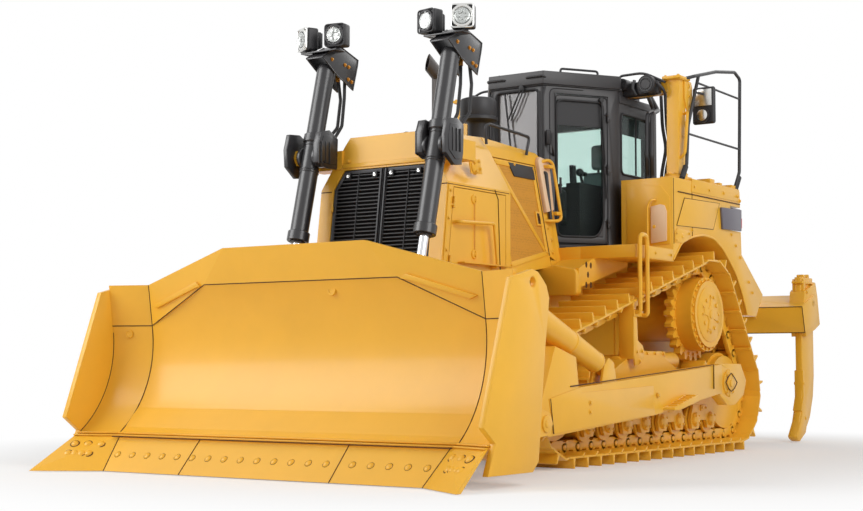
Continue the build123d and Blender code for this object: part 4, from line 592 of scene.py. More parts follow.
def build_undercarriage():
    # final drive: a ring of bolts, a raised rim and a cross-shaped cover
    x, z = DRIVE
    parts = [bolts(circle(x, 1234, z, 322, turns(26)), 15, 13),
             lathe([(0, 0), (252, 0), (262, -6), (262, -30), (0, -30)], (x, 1272, z), (0, 1, 0), 40)]
    cover = []
    for i in range(4):
        a = i * math.pi / 2 + 0.2
        for da, r in ((-0.42, 75), (-0.25, 150), (0.25, 150), (0.42, 75)):
            cover.append((x + r * math.cos(a + da), z + r * math.sin(a + da)))
    parts.append(side_shape(cover, 1262, 1281, 4))
    for i in range(4):
        a = i * math.pi / 2 + 0.2
        parts.append(bolts(circle(x, 1271, z, 168, (a - 0.2, a + 0.2)), 13, 10))
        a += math.pi / 4
        parts.append(rod((x + 150 * math.cos(a), 1268, z + 150 * math.sin(a)),
                         (x + 150 * math.cos(a), 1284, z + 150 * math.sin(a)), 20, 16, 4))
    parts.append(rod((x, 1268, z), (x, 1290, z), 42, 24, 6))
    piece(parts, "final_drive_covers", YELLOW, mirror=True)
    # sprocket segments: bolts round the rim
    piece([bolts(circle(x, 1075, z, 372, turns(25, 0.5)), 14, 12)], "sprocket_bolts", YELLOW, mirror=True)
    # roller ends, caps and the square blocks of the bogies
    parts = []
    for i in range(8):
        rx = -1155 + 330 * i
        parts += [lathe([(0, 0), (34, 0), (58, -8), (66, -22), (66, -40), (0, -40)], (rx, 1251, 316),
                        (0, 1, 0), 20),
                  bolts(circle(rx, 1246, 316, 46, (0.785, 2.356, 3.927, 5.498)), 9, 8)]
    for i in range(4):
        bx = -990 + 660 * i
        parts += [block((bx - 62, bx + 62), (1218, 1232), (392, 448), 6),
                  side_bolts(1231, ((bx - 38, 420), (bx + 38, 420)), 11, 9)]
    for sx in (-IDLER_X, IDLER_X):
        parts += [lathe([(0, 0), (46, 0), (70, -14), (70, -34), (0, -34)], (sx, 1250, IDLER_Z), (0, 1, 0),
                        24),
                  side_bolts(1214,
                             [(sx + 84 * math.cos(a), IDLER_Z + 60 * math.sin(a))
                              for a in (0.6, 2.54, 3.74, 5.68)], 12, 10)]
    piece(parts, "roller_ends", YELLOW, mirror=True)
    # roller frame: top covers, recoil housing, guards and bolts
    parts = [side_shape([(-1090, 700), (-1010, 700), (-985, 800), (-1035, 860), (-1110, 800)], 1000, 1232, 8),
             rod((-560, 1120, 852), (520, 1120, 812), 78, 24, 10),
             block((-300, 260), (1010, 1190), (880, 935), 12),
             side_shape([(560, 700), (1080, 690), (1060, 760), (900, 830), (640, 835)], 960, 1180, 12),
             side_bolts(1190, [(px, 912) for px in (-250, -90, 60, 210)], 14, 12),
             side_bolts(1226, [(px, 640) for px in (-1140, -1060, 1060, 1140)], 15, 12)]
    piece(parts, "roller_frame_details", YELLOW, mirror=True)
    coat(YELLOW, "roller_frame_left", "roller_frame_right", "rollers_left", "rollers_right", "idlers",
         "sprockets", "final_drives", "main_frame", "ripper_bracket")


# ------------------------------------------------------------------ blade
ARC_X, ARC_Z, ARC_R = 4099.5, 973, 861     # centre and radius of the moldboard's face
EDGE_X, EDGE_Z = 3613.9, 262               # top of the cutting edge, which leans forward as it
EDGE_DROP, EDGE_RUN = 256, 233.1           # drops this far


def mold_x(z):
    """Station of the moldboard's face, an upright arc, at a height."""
    return ARC_X - math.sqrt(ARC_R ** 2 - (z - ARC_Z) ** 2)


def edge_point(y, z, out=0):
    """Point on the cutting edge's leaning face."""
    t = (EDGE_Z - z) / EDGE_DROP
    return (EDGE_X + EDGE_RUN * t + out * 0.74, y, z + out * 0.67)


def bit_point(u, z):
    """Point on the left corner bit's face, u from its inner end to its tip."""
    t = (EDGE_Z - z) / EDGE_DROP
    top = Vector((EDGE_X, 1565, EDGE_Z)).lerp(Vector((3749.9, 1923, EDGE_Z)), u)
    low = Vector((3847, 1494, 6)).lerp(Vector((4155, 1972, 6)), u)
    return tuple(top.lerp(low, t))


def build_blade():
    body = "blade"
    out = (0.74, 0, 0.67)
    dome = lathe([(0, 12), (14, 10), (23, 5), (27, 0), (27, -6), (0, -6)], (0, 0, 0), (0, 0, 1), 16)
    # nine bolts in the middle edge and five in each side edge
    places = [stand(edge_point(-673 + 1269 / 8 * i, 125), out) for i in range(9)]
    for start in (-1455, 826):
        places += [stand(edge_point(start + 629 / 4 * i, 127), out) for i in range(5)]
    edge_bolts = copies(dome, places)
    a, b, c = [Vector(bit_point(*p)) for p in ((0, 262), (1, 262), (0.5, 6))]
    face = (b - a).cross(c - a).normalized()
    if face.x < 0:
        face = -face
    head = lathe([(0, 22), (18, 20), (27, 14), (31, 7), (31, -10), (0, -10)], (0, 0, 0), (0, 0, 1), 18)
    spots = [(u, 196) for u in (0.27, 0.52, 0.77)] + [(u, 128) for u in (0.374, 0.49, 0.605, 0.717)]
    bit_bolts = copies(head, [stand(bit_point(*s), face) for s in spots])
    bit_bolts = mirrored(bit_bolts)
    # sunk seats round the heads, seen as dark rings of painted shade
    seat = lathe([(26, 1.5), (28.5, 1.5), (29, 0), (26, 0)], (0, 0, 0), (0, 0, 1), 20)
    seats = copies(seat, places)
    wide = lathe([(30, 8), (37, 8), (40, 0), (40, -10), (30, -10)], (0, 0, 0), (0, 0, 1), 20)
    wide = copies(wide, [stand(bit_point(*s), face) for s in spots])
    wide = mirrored(wide)
    piece([seats, wide], "edge_bolt_seats", SEAM_SHADE, body)
    piece([edge_bolts, bit_bolts], "edge_bolts", YELLOW, body)
    # two stepped ledges between moldboard and edges, following the wings
    parts = []
    for up, reach, thick in ((262, 30, 12), (278, 16, 14)):
        x = mold_x(up)
        inner, outer = (x + reach, WING_Y), (x + reach + 121, BLADE_Y)
        strip = [(x - 10, -WING_Y), inner[:1] + (-WING_Y,), inner, (x - 10, WING_Y)]
        parts.append(outline([(px, py, up) for px, py in strip], (0, 0, thick), 3))
        wing = [(x - 10, 1596), inner, outer, (x + 111, BLADE_Y)]
        for side in (1, -1):
            parts.append(outline([(px, side * py, up) for px, py in wing], (0, 0, thick), 3))
    # pads at the shoulders and the lifting sockets on the face
    break_x, crown_x = mold_x(BREAK_Z), 3436
    fold_x = mold_x(FOLD_Z)

    def shell_x(y, z):
        """Station of the sloping spill plate's face."""
        u = Vector((fold_x - break_x, 672, -304))
        v = Vector((crown_x - break_x, 679 - CROWN_Y, 270))
        n = u.cross(v)
        return break_x - (n.y * (abs(y) - CROWN_Y) + n.z * (z - BREAK_Z)) / n.x

    pads = []
    for side in (1, -1):
        pad = [(shell_x(y, z) - 4, side * y, z)
               for y, z in ((1010, 1452), (960, 1418), (1040, 1400), (1500, 1262), (1560, 1285))]
        pads.append(outline(pad, (26, 0, 0), 5))
    parts += pads
    sockets = [lathe([(0, 3), (22, 3), (26, 9), (36, 9), (40, 0), (0, 0)], (mold_x(1352) - 1, 304, 1352),
                     (1, 0, 0), 20)]
    for side in (1, -1):
        x = mold_x(1060) + 75
        sockets.append(lathe([(0, 3), (20, 3), (24, 9), (32, 9), (36, 0), (0, 0)], (x, side * 1790, 1060),
                             (1, -side * 0.37, 0), 20))
    piece(parts + sockets, "moldboard_details", YELLOW, body)
    # weld seams, seen as dark lines of painted shade in the joints
    seams = []
    for side in (1, -1):
        seams += [tube([(mold_x(z) + 1, side * WING_Y, z) for z in range(292, 1130, 60)]
                       + [(mold_x(FOLD_Z), side * WING_Y, FOLD_Z)], SEAM_R),
                  tube([(fold_x, side * WING_Y, FOLD_Z), (shell_x(WING_Y, 1450), side * WING_Y, 1450)],
                       SEAM_R),
                  tube([(fold_x, side * WING_Y, FOLD_Z), (break_x, side * CROWN_Y, BREAK_Z)], SEAM_R),
                  tube([(fold_x + 1, side * WING_Y, FOLD_Z), (fold_x + 120, side * BLADE_Y, FOLD_Z)], SEAM_R),
                  tube([(mold_x(z) + 118, side * 1924, z) for z in range(292, 1130, 60)], SEAM_R)]
    seams += [tube([(break_x, -CROWN_Y, BREAK_Z), (break_x, CROWN_Y, BREAK_Z)], SEAM_R),
              tube([(mold_x(250) + 30, -WING_Y, 258), (mold_x(250) + 30, WING_Y, 258)], SEAM_R)]
    for y in (-707, 707):
        seams.append(tube([edge_point(y, 262, 1), edge_point(y, 6, 1)], 3.5))
    for side in (1, -1):
        seams.append(tube([edge_point(side * 1564, 262, 1), edge_point(side * 1493, 6, 1)], 3.5))
    piece(seams, "blade_seams", SEAM_SHADE, body)
    stand_in("blade_end_plates", "end_plates_rounded", 12, YELLOW, body)
    coat(YELLOW, "moldboard", "cutting_edges", "end_bits")


def build_push_arms():
    body = "push_arms"
    parts = []
    # trunnion cap, bolted; wear plates, step cleats and weld lines
    x, z = TRUNNION
    cap = [(x + 118 * math.cos(a), z + 118 * math.sin(a)) for a in turns(24)]
    parts.append(side_shape(cap, 1505, 1524, 5))
    diamond = [(-1000, 648), (-940, 735), (-900, 735), (-840, 648), (-900, 560), (-940, 560)]
    parts += [side_shape(diamond, 1520, 1540, 5), rod((x, 1536, z), (x, 1552, z), 38, 20, 6),
              bolts(circle(x, 1524, z, 98, (0.9, 2.24, 4.04, 5.38)), 13, 11),
              side_shape([(600, 400), (2230, 300), (2300, 560), (1840, 640), (1820, 600), (620, 640)], 1530,
                         1537, 3)]
    for i in range(7):
        x = 20 + 56 * i
        z = 556 - 0.228 * (x + 20)
        parts.append(outline([(x, 1545, z - 8), (x + 16, 1545, z - 11), (x + 16, 1545, z + 10),
                              (x, 1545, z + 12)], (0, 86, 0), 2))
    parts += [side_shape([(1930, 600), (2060, 600), (2130, 820), (2050, 900), (1930, 870)], 1400, 1505, 8),
              side_bolts(1577, [(2420, 380)], 30, 16), rod((2410, 1572, 380), (2410, 1590, 380), 64, 28, 6),
              side_bolts(1538, ((1690, 450), (1690, 520), (540, 560)), 14, 11)]
    piece(parts, "push_arm_details", YELLOW, body, mirror=True)
    # weld lines round the trunnion and along the arm, drawn as dark lines of painted shade
    lens = [(-1045, 652), (-985, 700), (-918, 738), (-850, 705), (-800, 655), (-850, 608), (-910, 572),
            (-985, 600), (-1045, 652)]
    seams = [tube([(x, 1541, z) for x, z in lens], 5),
             tube([(1985, 1534, 648), (-560, 1534, 815), (-560, 1534, 600)], 5),
             tube([(2285, 1538, 560), (2240, 1538, 300)], 4)]
    piece(seams, "push_arm_seams", SEAM_SHADE, body, mirror=True)
    stand_in("push_arms", "push_arms_rounded", 8, YELLOW, body)
    # tilt cylinder: collars and a trunnion cap
    ux, uz = 0.9406, 0.3395    # the cylinder's direction

    def along(d, y=1450):
        """Point this far up the tilt cylinder from its lower pin."""
        return (TILT_PIN[0] + ux * d, y, TILT_PIN[1] + uz * d)

    parts = [rod(along(1180), along(1248), 120, 32, 6), rod(along(124), along(152), 85, 28, 4),
             rod(along(560), along(590), 98, 32, 4),
             bolts([(tuple(Vector(along(1246)) + Vector((-uz, 0, ux)) * 100 * math.cos(a)
                           + Vector((0, 1, 0)) * 100 * math.sin(a)), (ux, 0, uz))
                    for a in turns(10)], 11, 10)]
    piece(parts, "tilt_cylinder_collars", YELLOW, "tilt_barrels", mirror=True)
    coat(YELLOW, "tilt_cylinder_barrels")
    coat(CHROME, "tilt_cylinder_rods", "lift_cylinder_rods", "ripper_lift_rods")


# ------------------------------------------------------------------ front end
def front_x(z, back=0):
    """Station of the guard's leaning front at a height, or this far behind it."""
    return 2435 - (z - 1280) * 0.1256 - back


def build_guard(sizes):
    # boss with its bolts on the shoulder, hinge-side posts, top bars and the lip over the grille
    parts = [lathe([(0, 26), (52, 26), (64, 18), (70, 0), (0, 0)], (1930, GUARD_Y, 2395), (0, 1, 0), 28),
             outline([(2030, GUARD_Y, 2455), (1860, GUARD_Y, 2440), (1830, GUARD_Y, 2340),
                      (1990, GUARD_Y, 2330)], (0, 8, 0), 3),
             bolts(circle(1930, 654, 2395, 46, (0.5, 2.0, 3.6, 5.0)), 11, 9),
             outline([(front_x(1380, 66), GUARD_Y, 1380), (front_x(1380, 14), GUARD_Y, 1380),
                      (front_x(2215, 14), GUARD_Y, 2215), (front_x(2215, 66), GUARD_Y, 2215)], (0, 10, 0),
                     3),
             side_bolts(637, [(front_x(z, 40), z) for z in (1450, 1700, 1950, 2170)], 11, 9),
             side_bolts(630, [(1480 + 90 * i, 1440) for i in range(7)], 11, 9)]
    piece(parts, "guard_details", YELLOW, mirror=True)
    parts = [outline([(front_x(2412, -2), -430, 2412), (front_x(2412, -2), 430, 2412),
                      (front_x(2448, -2), 425, 2448), (front_x(2448, -2), -425, 2448)], (8, 0, 0), 2),
             bolts([((front_x(2470, -2), y, 2470), (1, 0, 0.12)) for y in (-370, 370)], 13, 11)]
    piece(parts, "guard_lip", YELLOW)
    # joints at the guard's shoulder, drawn as dark lines of painted shade
    piece([tube([(1420, GUARD_Y, 2222), (front_x(2222, 0), GUARD_Y, 2222)], 4),
           tube([(front_x(2222) + 1, GUARD_Y, 2222), (front_x(2222) + 1, 520, 2222)], 4)], "guard_seams",
          SEAM_SHADE, mirror=True)
    for side, name in SIDES:
        body = "radiator_door_" + name
        parts = []
        for z in (2127, 1689):
            parts += [lathe([(0, 20), (14, 20), (20, 13), (34, 13), (40, 6), (40, 0), (0, 0)],
                            (1942, side * 629, z), (0, side, 0), 24),
                      block((1936, 1948), sorted((side * 640, side * 655)), (z - 24, z + 24), 2)]
        parts += [tube([(1942, side * 640, 2127), (1942, side * 640, 1689)], 4),
                  block((1485, 2175), sorted((side * 629, side * 700)), (1606, 1616), 2),
                  bolts([((x, side * 630, z), (0, side, 0)) for x, z in ((2235, 1925), (1690, 1590))], 12, 9)]
        piece(parts, "radiator_door_fittings_" + name, YELLOW, body)
        body = "grille_door_" + name
        parts = [outline([(front_x(z, -1), side * y, z)
                          for y, z in ((14, 1372), (30, 1372), (30, 2388), (14, 2388))], (10, 0, 0), 2)]
        latch_z = 2345
        for y in (60, 330):
            parts.append(block((front_x(latch_z), front_x(latch_z, -16)), sorted((side * y, side * (y + 46))),
                               (latch_z - 26, latch_z + 24), 4))
        # leaf: a flat frame round close, downward louvres
        corners = [(5, 1367), (493, 1367), (493, 2237), (398, 2388), (5, 2388)]
        hole = [(34, 1396), (464, 1396), (464, 2228), (382, 2359), (34, 2359)]
        for i in range(5):
            strip = [corners[i], corners[(i + 1) % 5], hole[(i + 1) % 5], hole[i]]
            parts.append(outline([(front_x(z, 2), side * y, z) for y, z in strip], (-38, 0, 0), 2))
        pitch = sizes.louvre * 1000
        for i in range(int(961 / pitch)):
            z = 1412 + pitch * i
            wide = 464 if z < 2228 else 464 - (z - 2228) * 0.626
            x = front_x(z, 4)
            parts.append(outline([(x, side * 33, z), (x, side * 33, z + 8), (x - 12, side * 33, z + 10),
                                  (x - 30, side * 33, z - 6), (x - 30, side * 33, z - 13)],
                                 (0, side * (wide - 32), 0)))
        parts += [tube([(front_x(1392, 0), side * 250, 1392), (front_x(2365, 0), side * 250, 2365)], 5),
                  tube([(front_x(1392, 34), side * 262, 1392), (front_x(2365, 34), side * 262, 2365)], 6)]
        piece(parts, "grille_leaf_" + name, PLASTIC, body, stands_for=("grille_door_" + name,))
        latch = bolts([((front_x(latch_z, -12), side * y, latch_z), (1, 0, 0.12)) for y in (83, 353)], 10, 8)
        piece([latch], "grille_latches_" + name, REFLECTOR, body)
    # dark shroud between the grille and the core, in the core's dull dark tone: painted shade seen through
    # the louvres
    piece([outline([(front_x(z, 90), y, z)
                    for y, z in ((-520, 1350), (520, 1350), (520, 2240), (415, 2400), (-415, 2400),
                                 (-520, 2240))], (-14, 0, 0))], "radiator_shroud", CORE)
    coat(CORE, "radiator_core", "engine_block")
    coat(YELLOW, "radiator_guard", "radiator_door_left", "radiator_door_right")


def lean(parts):
    """Tilts pieces made upright over the foot of the hood's side onto its slope."""
    return turned(parts, math.atan(HOOD_LEAN), "X", (0, HOOD_Y, HOOD_Z))


def beside(x, z, off):
    """Point this far out from the hood's sloping side."""
    return (x, HOOD_Y - (z - HOOD_Z) * HOOD_LEAN + off, z)


def build_hood():
    for side, name in SIDES:
        body = "engine_door_" + name

        def up(z):
            """Distance up the slope that ends at a height."""
            return HOOD_Z + (z - HOOD_Z) * 1.018

        frame_parts = []
        # pressed frame round the screen, with its diagonal rib
        rim = [(1330, up(1614)), (1330, up(2548)), (668, up(2548)), (668, up(1760))]
        inner = [(1300, up(1668)), (1300, up(2500)), (712, up(2500)), (712, up(1792))]
        for i in range(4):
            j = (i + 1) % 4
            strip = [rim[i], rim[j], inner[j], inner[i]]
            frame_parts.append(side_shape(strip, 604, 614, 2))
        frame_parts.append(side_shape([(1300, up(2470)), (1262, up(2500)), (712, up(1820)), (728, up(1784))],
                                      604, 612, 2))
        for x, z in ((1315, 1640), (1315, 2090), (690, 1780), (690, 2520), (1315, 2524), (1000, 2526)):
            frame_parts.append(bolts([((x, 613, up(z)), (0, 1, 0))], 10, 7))
        border = lean(frame_parts)
        screen = lean([side_shape([(1302, up(1666)), (1302, up(2502)), (710, up(2502)), (710, up(1790))], 602,
                                  606, 0)])
        badge = lean([side_shape([(1096, up(2536)), (690, up(2536)), (690, up(2420)), (1030, up(2420))], 606,
                                 617, 3)])
        vent = lean([side_shape([(782, up(2010)), (782, up(2136)), (712, up(2136)), (712, up(2010))], 605,
                                620, 4)])
        # recess behind the latch, filled in the seam tone as painted shade
        pocket = lean([side_shape([(768, up(2026)), (768, up(2120)), (726, up(2120)), (726, up(2026))], 618,
                                  621, 2),
                       side_shape([(752, up(2050)), (752, up(2096)), (742, up(2096)), (742, up(2050))], 620,
                                  632, 2)])
        for thing, label, tone in ((border, "frame", YELLOW), (screen, "screen", MESH),
                                   (badge, "panel", PLASTIC), (vent, "latch", YELLOW),
                                   (pocket, "latch_pocket", SEAM_SHADE)):
            piece([sided([thing], side)], "engine_door_%s_%s" % (label, name), tone, body)
    # pale service panel and yellow hoop behind the door, black guard rail on the hood
    hoop = tube([beside(640, 2070, -20), beside(575, 2062, 70), beside(456, 2085, 75), beside(435, 2600, 70),
                 beside(526, 2620, 70), beside(630, 2560, -20)], 15, 60)
    straps = [block((480, 560), (540, 580), (2120, 2150), 4), block((470, 560), (440, 500), (2540, 2570), 4)]
    piece([hoop] + straps, "hood_hoops", YELLOW, mirror=True)
    panel = outline([beside(x, z, 42)
                     for x, z in ((632, 2140), (500, 2170), (445, 2590), (470, 2625), (600, 2640),
                                  (632, 2600))], (0, -40, -7), 6)
    piece([panel], "service_panels", PALE, mirror=True)
    wing = outline([beside(x, z, 2)
                    for x, z in ((636, 2545), (636, 1752), (545, 1712), (455, 2300), (425, 2600),
                                 (560, 2650))], (0, -22, -4), 4)
    studs = bolts([(beside(x, z, 2), (0, 1, 0.19)) for x, z in ((590, 1790), (600, 2000), (565, 1900))], 11,
                  9)
    piece([wing, studs], "hood_rear_panels", YELLOW, mirror=True)
    # joints on the hood's sides, drawn as dark lines of painted shade
    seams = [tube([(1640, 632, 2232), (1590, 632, 2160), (1560, 632, 1560)], 4)]
    for points in ([(1402, 2620), (1538, 1560)], [(652, 2545), (652, 1760)]):
        seams.append(tube([beside(x, z, 1) for x, z in points], 5))
    piece(seams, "hood_seams", SEAM_SHADE, mirror=True)
    # air intake: a ribbed drum with a domed lid on a waisted neck
    cleaner = lathe([(0, 3152), (120, 3149), (152, 3138), (160, 3118), (162, 2996), (158, 2990), (158, 2984),
                     (169, 2978), (169, 2952), (160, 2944), (112, 2934), (100, 2926), (92, 2914), (92, 2700),
                     (0, 2700)], (INTAKE_X, 0, 0), (0, 0, 1), 48)
    band = lathe([(92, 2800), (100, 2796), (100, 2776), (92, 2772)], (INTAKE_X, 0, 0), (0, 0, 1), 32)
    clamps = bolts([((INTAKE_X + 98 * math.cos(a), 98 * math.sin(a), 2786), (math.cos(a), math.sin(a), 0))
                    for a in (0.2, 1.8, 3.4, 5.0)], 11, 16)
    piece([cleaner, band, clamps], "air_intake", PLASTIC, stands_for=("precleaner",))
    rail = tube([(1440, 420, 2650), (1470, 425, 2790), (1420, 430, 2822), (770, 430, 2790), (800, 425, 2700),
                 (800, 415, 2630)], 13, 45)
    piece([rail], "hood_rails", PLASTIC, mirror=True)
    # stack: an open pipe with a slanting mouth
    pipe = tube([(*STACK, 2640), (*STACK, 3318), (1520, -200, 3472)], 60, 6, 5)
    edit(pipe)
    bpy.ops.mesh.bisect(plane_co=at(1418, -200, 3414), plane_no=(0.76, -0.64, 0.10), clear_outer=True)
    free()
    apply_modifier(pipe, "SOLIDIFY", thickness=0.004, offset=-1)
    collar = lathe([(58, 2900), (67, 2896), (67, 2866), (58, 2862)], (*STACK, 0), (0, 0, 1), 32)
    foot = lathe([(58, 2740), (86, 2722), (92, 2700), (92, 2684), (0, 2684)], (*STACK, 0), (0, 0, 1), 32)
    piece([pipe, collar, foot], "exhaust", EXHAUST, stands_for=("exhaust_stack",))
    coat(YELLOW, "hood", "engine_door_left", "engine_door_right")


# ------------------------------------------------------------------ cab
WALL_COS, WALL_SIN = 0.83, 0.5578      # the angled walls' turn from the machine's length
DOOR_WIDER = 0.038                     # metres that the door's window gains at its front edge


def wall(along, out, z):
    """Point on the left angled wall: along it from the nose corner, out from its face, at a height."""
    return (285 - WALL_COS * along + WALL_SIN * out, 280 + WALL_SIN * along + WALL_COS * out, z)


def wall_ring(a0, a1, z0, z1, out, radius, bend, cut=0):
    """Rounded tube frame on the angled wall, with its lower rear corner cut where wanted."""
    points = [wall((a0 + a1) / 2, out, z1), wall(a0, out, z1), wall(a0, out, z0), wall(a1 - cut, out, z0)]
    if cut:
        points.append(wall(a1, out, z0 + cut * 2.2))
    points += [wall(a1, out, z1), wall((a0 + a1) / 2, out, z1)]
    return tube(points, radius, bend)


def widened(node, side):
    """Copy of a door's frame piece with its window's front edge moved towards the cab's nose."""
    def along(v):
        return (0.285 - v.co.x + SHIFT / 1000) * WALL_COS + (side * v.co.y - 0.28) * WALL_SIN

    obj = from_frame(node, 0)
    edit(obj, "VERT", lambda v: 0.165 < along(v) < 0.185)
    bpy.ops.transform.translate(value=(WALL_COS * DOOR_WIDER, -side * WALL_SIN * DOOR_WIDER, 0))
    free()
    return obj


def build_cab():
    stand_in("cab_shell", "cab_walls", 7, DARK)
    stand_in("cab_roof", "cab_roof_cap", 14, DARK, segments=3)
    # drip rail, roof grab loops, corner posts' knobs and the nose's hoses
    plan = [(288, 284), (-345, 708), (-372, 726)]
    parts = [tube([(x, y, 3346) for x, y in [(288, 0)] + plan], 9),
             tube([(60, 330, 3462), (70, 330, 3520), (-250, 545, 3520), (-240, 545, 3462)], 11, 30),
             tube([(250, 120, 3400), (330, 120, 3420), (330, 300, 3420), (250, 300, 3400)], 10, 25),
             tube([(315, 262, 2600), (322, 262, 3280)], 12),
             tube([(300, 292, 2560), (312, 292, 3240), (280, 300, 3330)], 9, 40)]
    for off in (0, 44):
        parts.append(tube([(-1030, 800 + off, 3380), (-1030, 812 + off, 3080), (-1030, 850 + off, 2870),
                           (-1030, 800 + off, 2640), (-1030, 790 + off, 2480)], 17, 60))
    piece(parts, "cab_trim", PLASTIC, mirror=True)
    rim = [wall(400, 1, 3318), wall(62, 1, 3318), wall(62, 1, 1900), wall(770, 1, 1900)]
    piece([tube(rim, 5, 60)], "cab_wall_seams", RUBBER, mirror=True)
    # wipers: a motor, an arm and a blade, on the windshield and on each door
    parts = [rod((288, 60, 3330), (318, 60, 3330), 26, 20, 4),
             tube([(312, 60, 3330), (318, -40, 3120), (306, -90, 3040)], 8, 30),
             tube([(312, 95, 3330), (318, -5, 3120), (306, -55, 3040)], 6, 30),
             tube([(305, -120, 3290), (305, -60, 2800)], 9)]
    piece(parts, "front_wipers", RUBBER)
    # windshield frame
    piece([tube([(289, 0, 3310), (289, -226, 3310), (289, -226, 2548), (289, 226, 2548), (289, 226, 3310),
                 (289, 0, 3310)], 11, 50)], "windshield_seal", RUBBER)
    for side, name in SIDES:
        body = "cab_door_" + name
        seal = [wall_ring(130, 603, 1973, 3217, 2, 11, 70, 62), wall_ring(122, 646, 1918, 3262, 1, 6, 40)]
        wiper = [rod(wall(575, 0, 3235), wall(575, 34, 3235), 22, 20, 4),
                 tube([wall(575, 28, 3235), wall(600, 40, 2700)], 8),
                 tube([wall(570, 22, 2950), wall(628, 22, 2330)], 8),
                 tube([wall(600, 40, 2700), wall(604, 24, 2640)], 8)]
        handle = [rod(wall(150, 0, 2430), wall(150, 45, 2430), 16, 16, 3),
                  tube([wall(148, 40, 2500), wall(148, 40, 2360)], 11)]
        mirror_arm = [tube([wall(100, 0, 2700), wall(60, 60, 2760), wall(60, 60, 2900)], 9, 30)]
        for group, label, tone, rides in ((seal, "door_seals", RUBBER, body),
                                          (wiper, "door_wiper", RUBBER, body),
                                          (handle, "door_handle", PLASTIC, body),
                                          (mirror_arm, "nose_pipe", PLASTIC, "chassis")):
            piece([sided(group, side)], "cab_%s_%s" % (label, name), tone, rides)
        leaf = widened("cab_door_" + name, side)
        soften(leaf, 6)
        corner = outline([wall(a, -4, z) for a, z in ((536, 1980), (610, 1980), (610, 2118))],
                         (-5.6, -8.3, 0))
        piece([leaf, sided([corner], side)], "cab_door_frame_" + name, DARK, body,
              stands_for=("cab_door_" + name,))
        piece([widened("door_glass_" + name, side)], "door_pane_" + name, GLASS, body,
              stands_for=("door_glass_" + name,))
    # side windows: rounded seals and a sliding bar; nose mirror
    parts = [tube([(-700, 701, 3140), (-402, 701, 3140), (-402, 701, 2572), (-1008, 701, 2572),
                   (-1008, 701, 3140), (-700, 701, 3140)], 11, 60),
             tube([(-705, 694, 3130), (-705, 694, 2582)], 9)]
    piece(parts, "side_window_seals", RUBBER, mirror=True)
    parts = [block((262, 290), (300, 352), (2790, 2930), 12), tube([(262, 296, 2850), (240, 290, 2850)], 8)]
    piece(parts, "nose_mirrors", PLASTIC, mirror=True)
    # seat: bolstered cushion, back and headrest, arm pads, levers with knobs, consoles and a screen
    parts = [block((-900, -430), (-20, 420), (2150, 2275), 45, 4),
             outline([(-850, -10, 2260), (-960, -10, 2260), (-1030, -10, 2670), (-930, -10, 2690)],
                     (0, 420, 0), 40, 4), block((-1010, -915), (80, 320), (2705, 2950), 40, 4)]
    obj = piece(parts, "seat_cushions", CLOTH, smooth=60)
    parts = [block((-860, -480), (-60, 460), (1925, 2165), 30), rod((-960, 150, 2640), (-960, 150, 2740), 12),
             rod((-960, 250, 2640), (-960, 250, 2740), 12),
             block((-820, -420), (455, 545), (2380, 2440), 22, 3),
             block((-820, -420), (-150, -60), (2380, 2440), 22, 3),
             block((-520, -250), (300, 400), (2200, 2400), 30), rod((-337, 350, 2380), (-262, 350, 2570), 14),
             lathe([(0, 42), (24, 36), (38, 16), (38, -6), (22, -26), (0, -32)], (-245, 350, 2590),
                   (0.3, 0, 1), 20), block((-310, -262), (352, 400), (2560, 2600), 14),
             rod((-200, -250, 2380), (-150, -250, 2590), 14),
             lathe([(0, 40), (22, 32), (32, 12), (30, -8), (16, -22), (0, -28)], (-146, -250, 2612),
                   (0, 0, 1), 20), block((-60, 130), (-330, 330), (2200, 2420), 40, 3),
             block((-20, 60), (40, 230), (2440, 2590), 14), rod((20, 130, 2400), (20, 130, 2450), 16)]
    piece(parts, "cab_controls", PLASTIC, stands_for=("operator_seat",))
    # dark bands inside the top of each door and side window, and at the lining of the roof: painted shade of
    # the cab's dim roof seen through the glass
    parts = [outline([wall(138, -9, 2985), wall(602, -9, 2985), wall(602, -9, 3216), wall(138, -9, 3216)],
                     (-2, -3, 0))]
    piece(parts, "sun_bands", RUBBER, mirror=True)
    piece([block((-1000, -420), (640, 646), (2960, 3124)), block((238, 242), (-206, 206), (3180, 3296))],
          "side_sun_bands", RUBBER, mirror=True)
    coat(PLASTIC, "console")

    def in_front(face):
        return face.center.x > 0.1

    screen = trim(from_frame("cab_glass", 0), lambda face: not in_front(face))
    piece([trim(from_frame("cab_glass", 0), in_front)], "cab_windows", GLASS, stands_for=("cab_glass",))
    piece([screen], "windscreen", SCREEN)


def fan_housing(y):
    """Round housing on the front of the air conditioner."""
    return lathe([(0, 6), (50, 6), (58, 0), (80, -6), (84, -24), (84, -110), (70, -124), (0, -124)],
                 (-745, y, 3375), (1, 0, 0), 28)


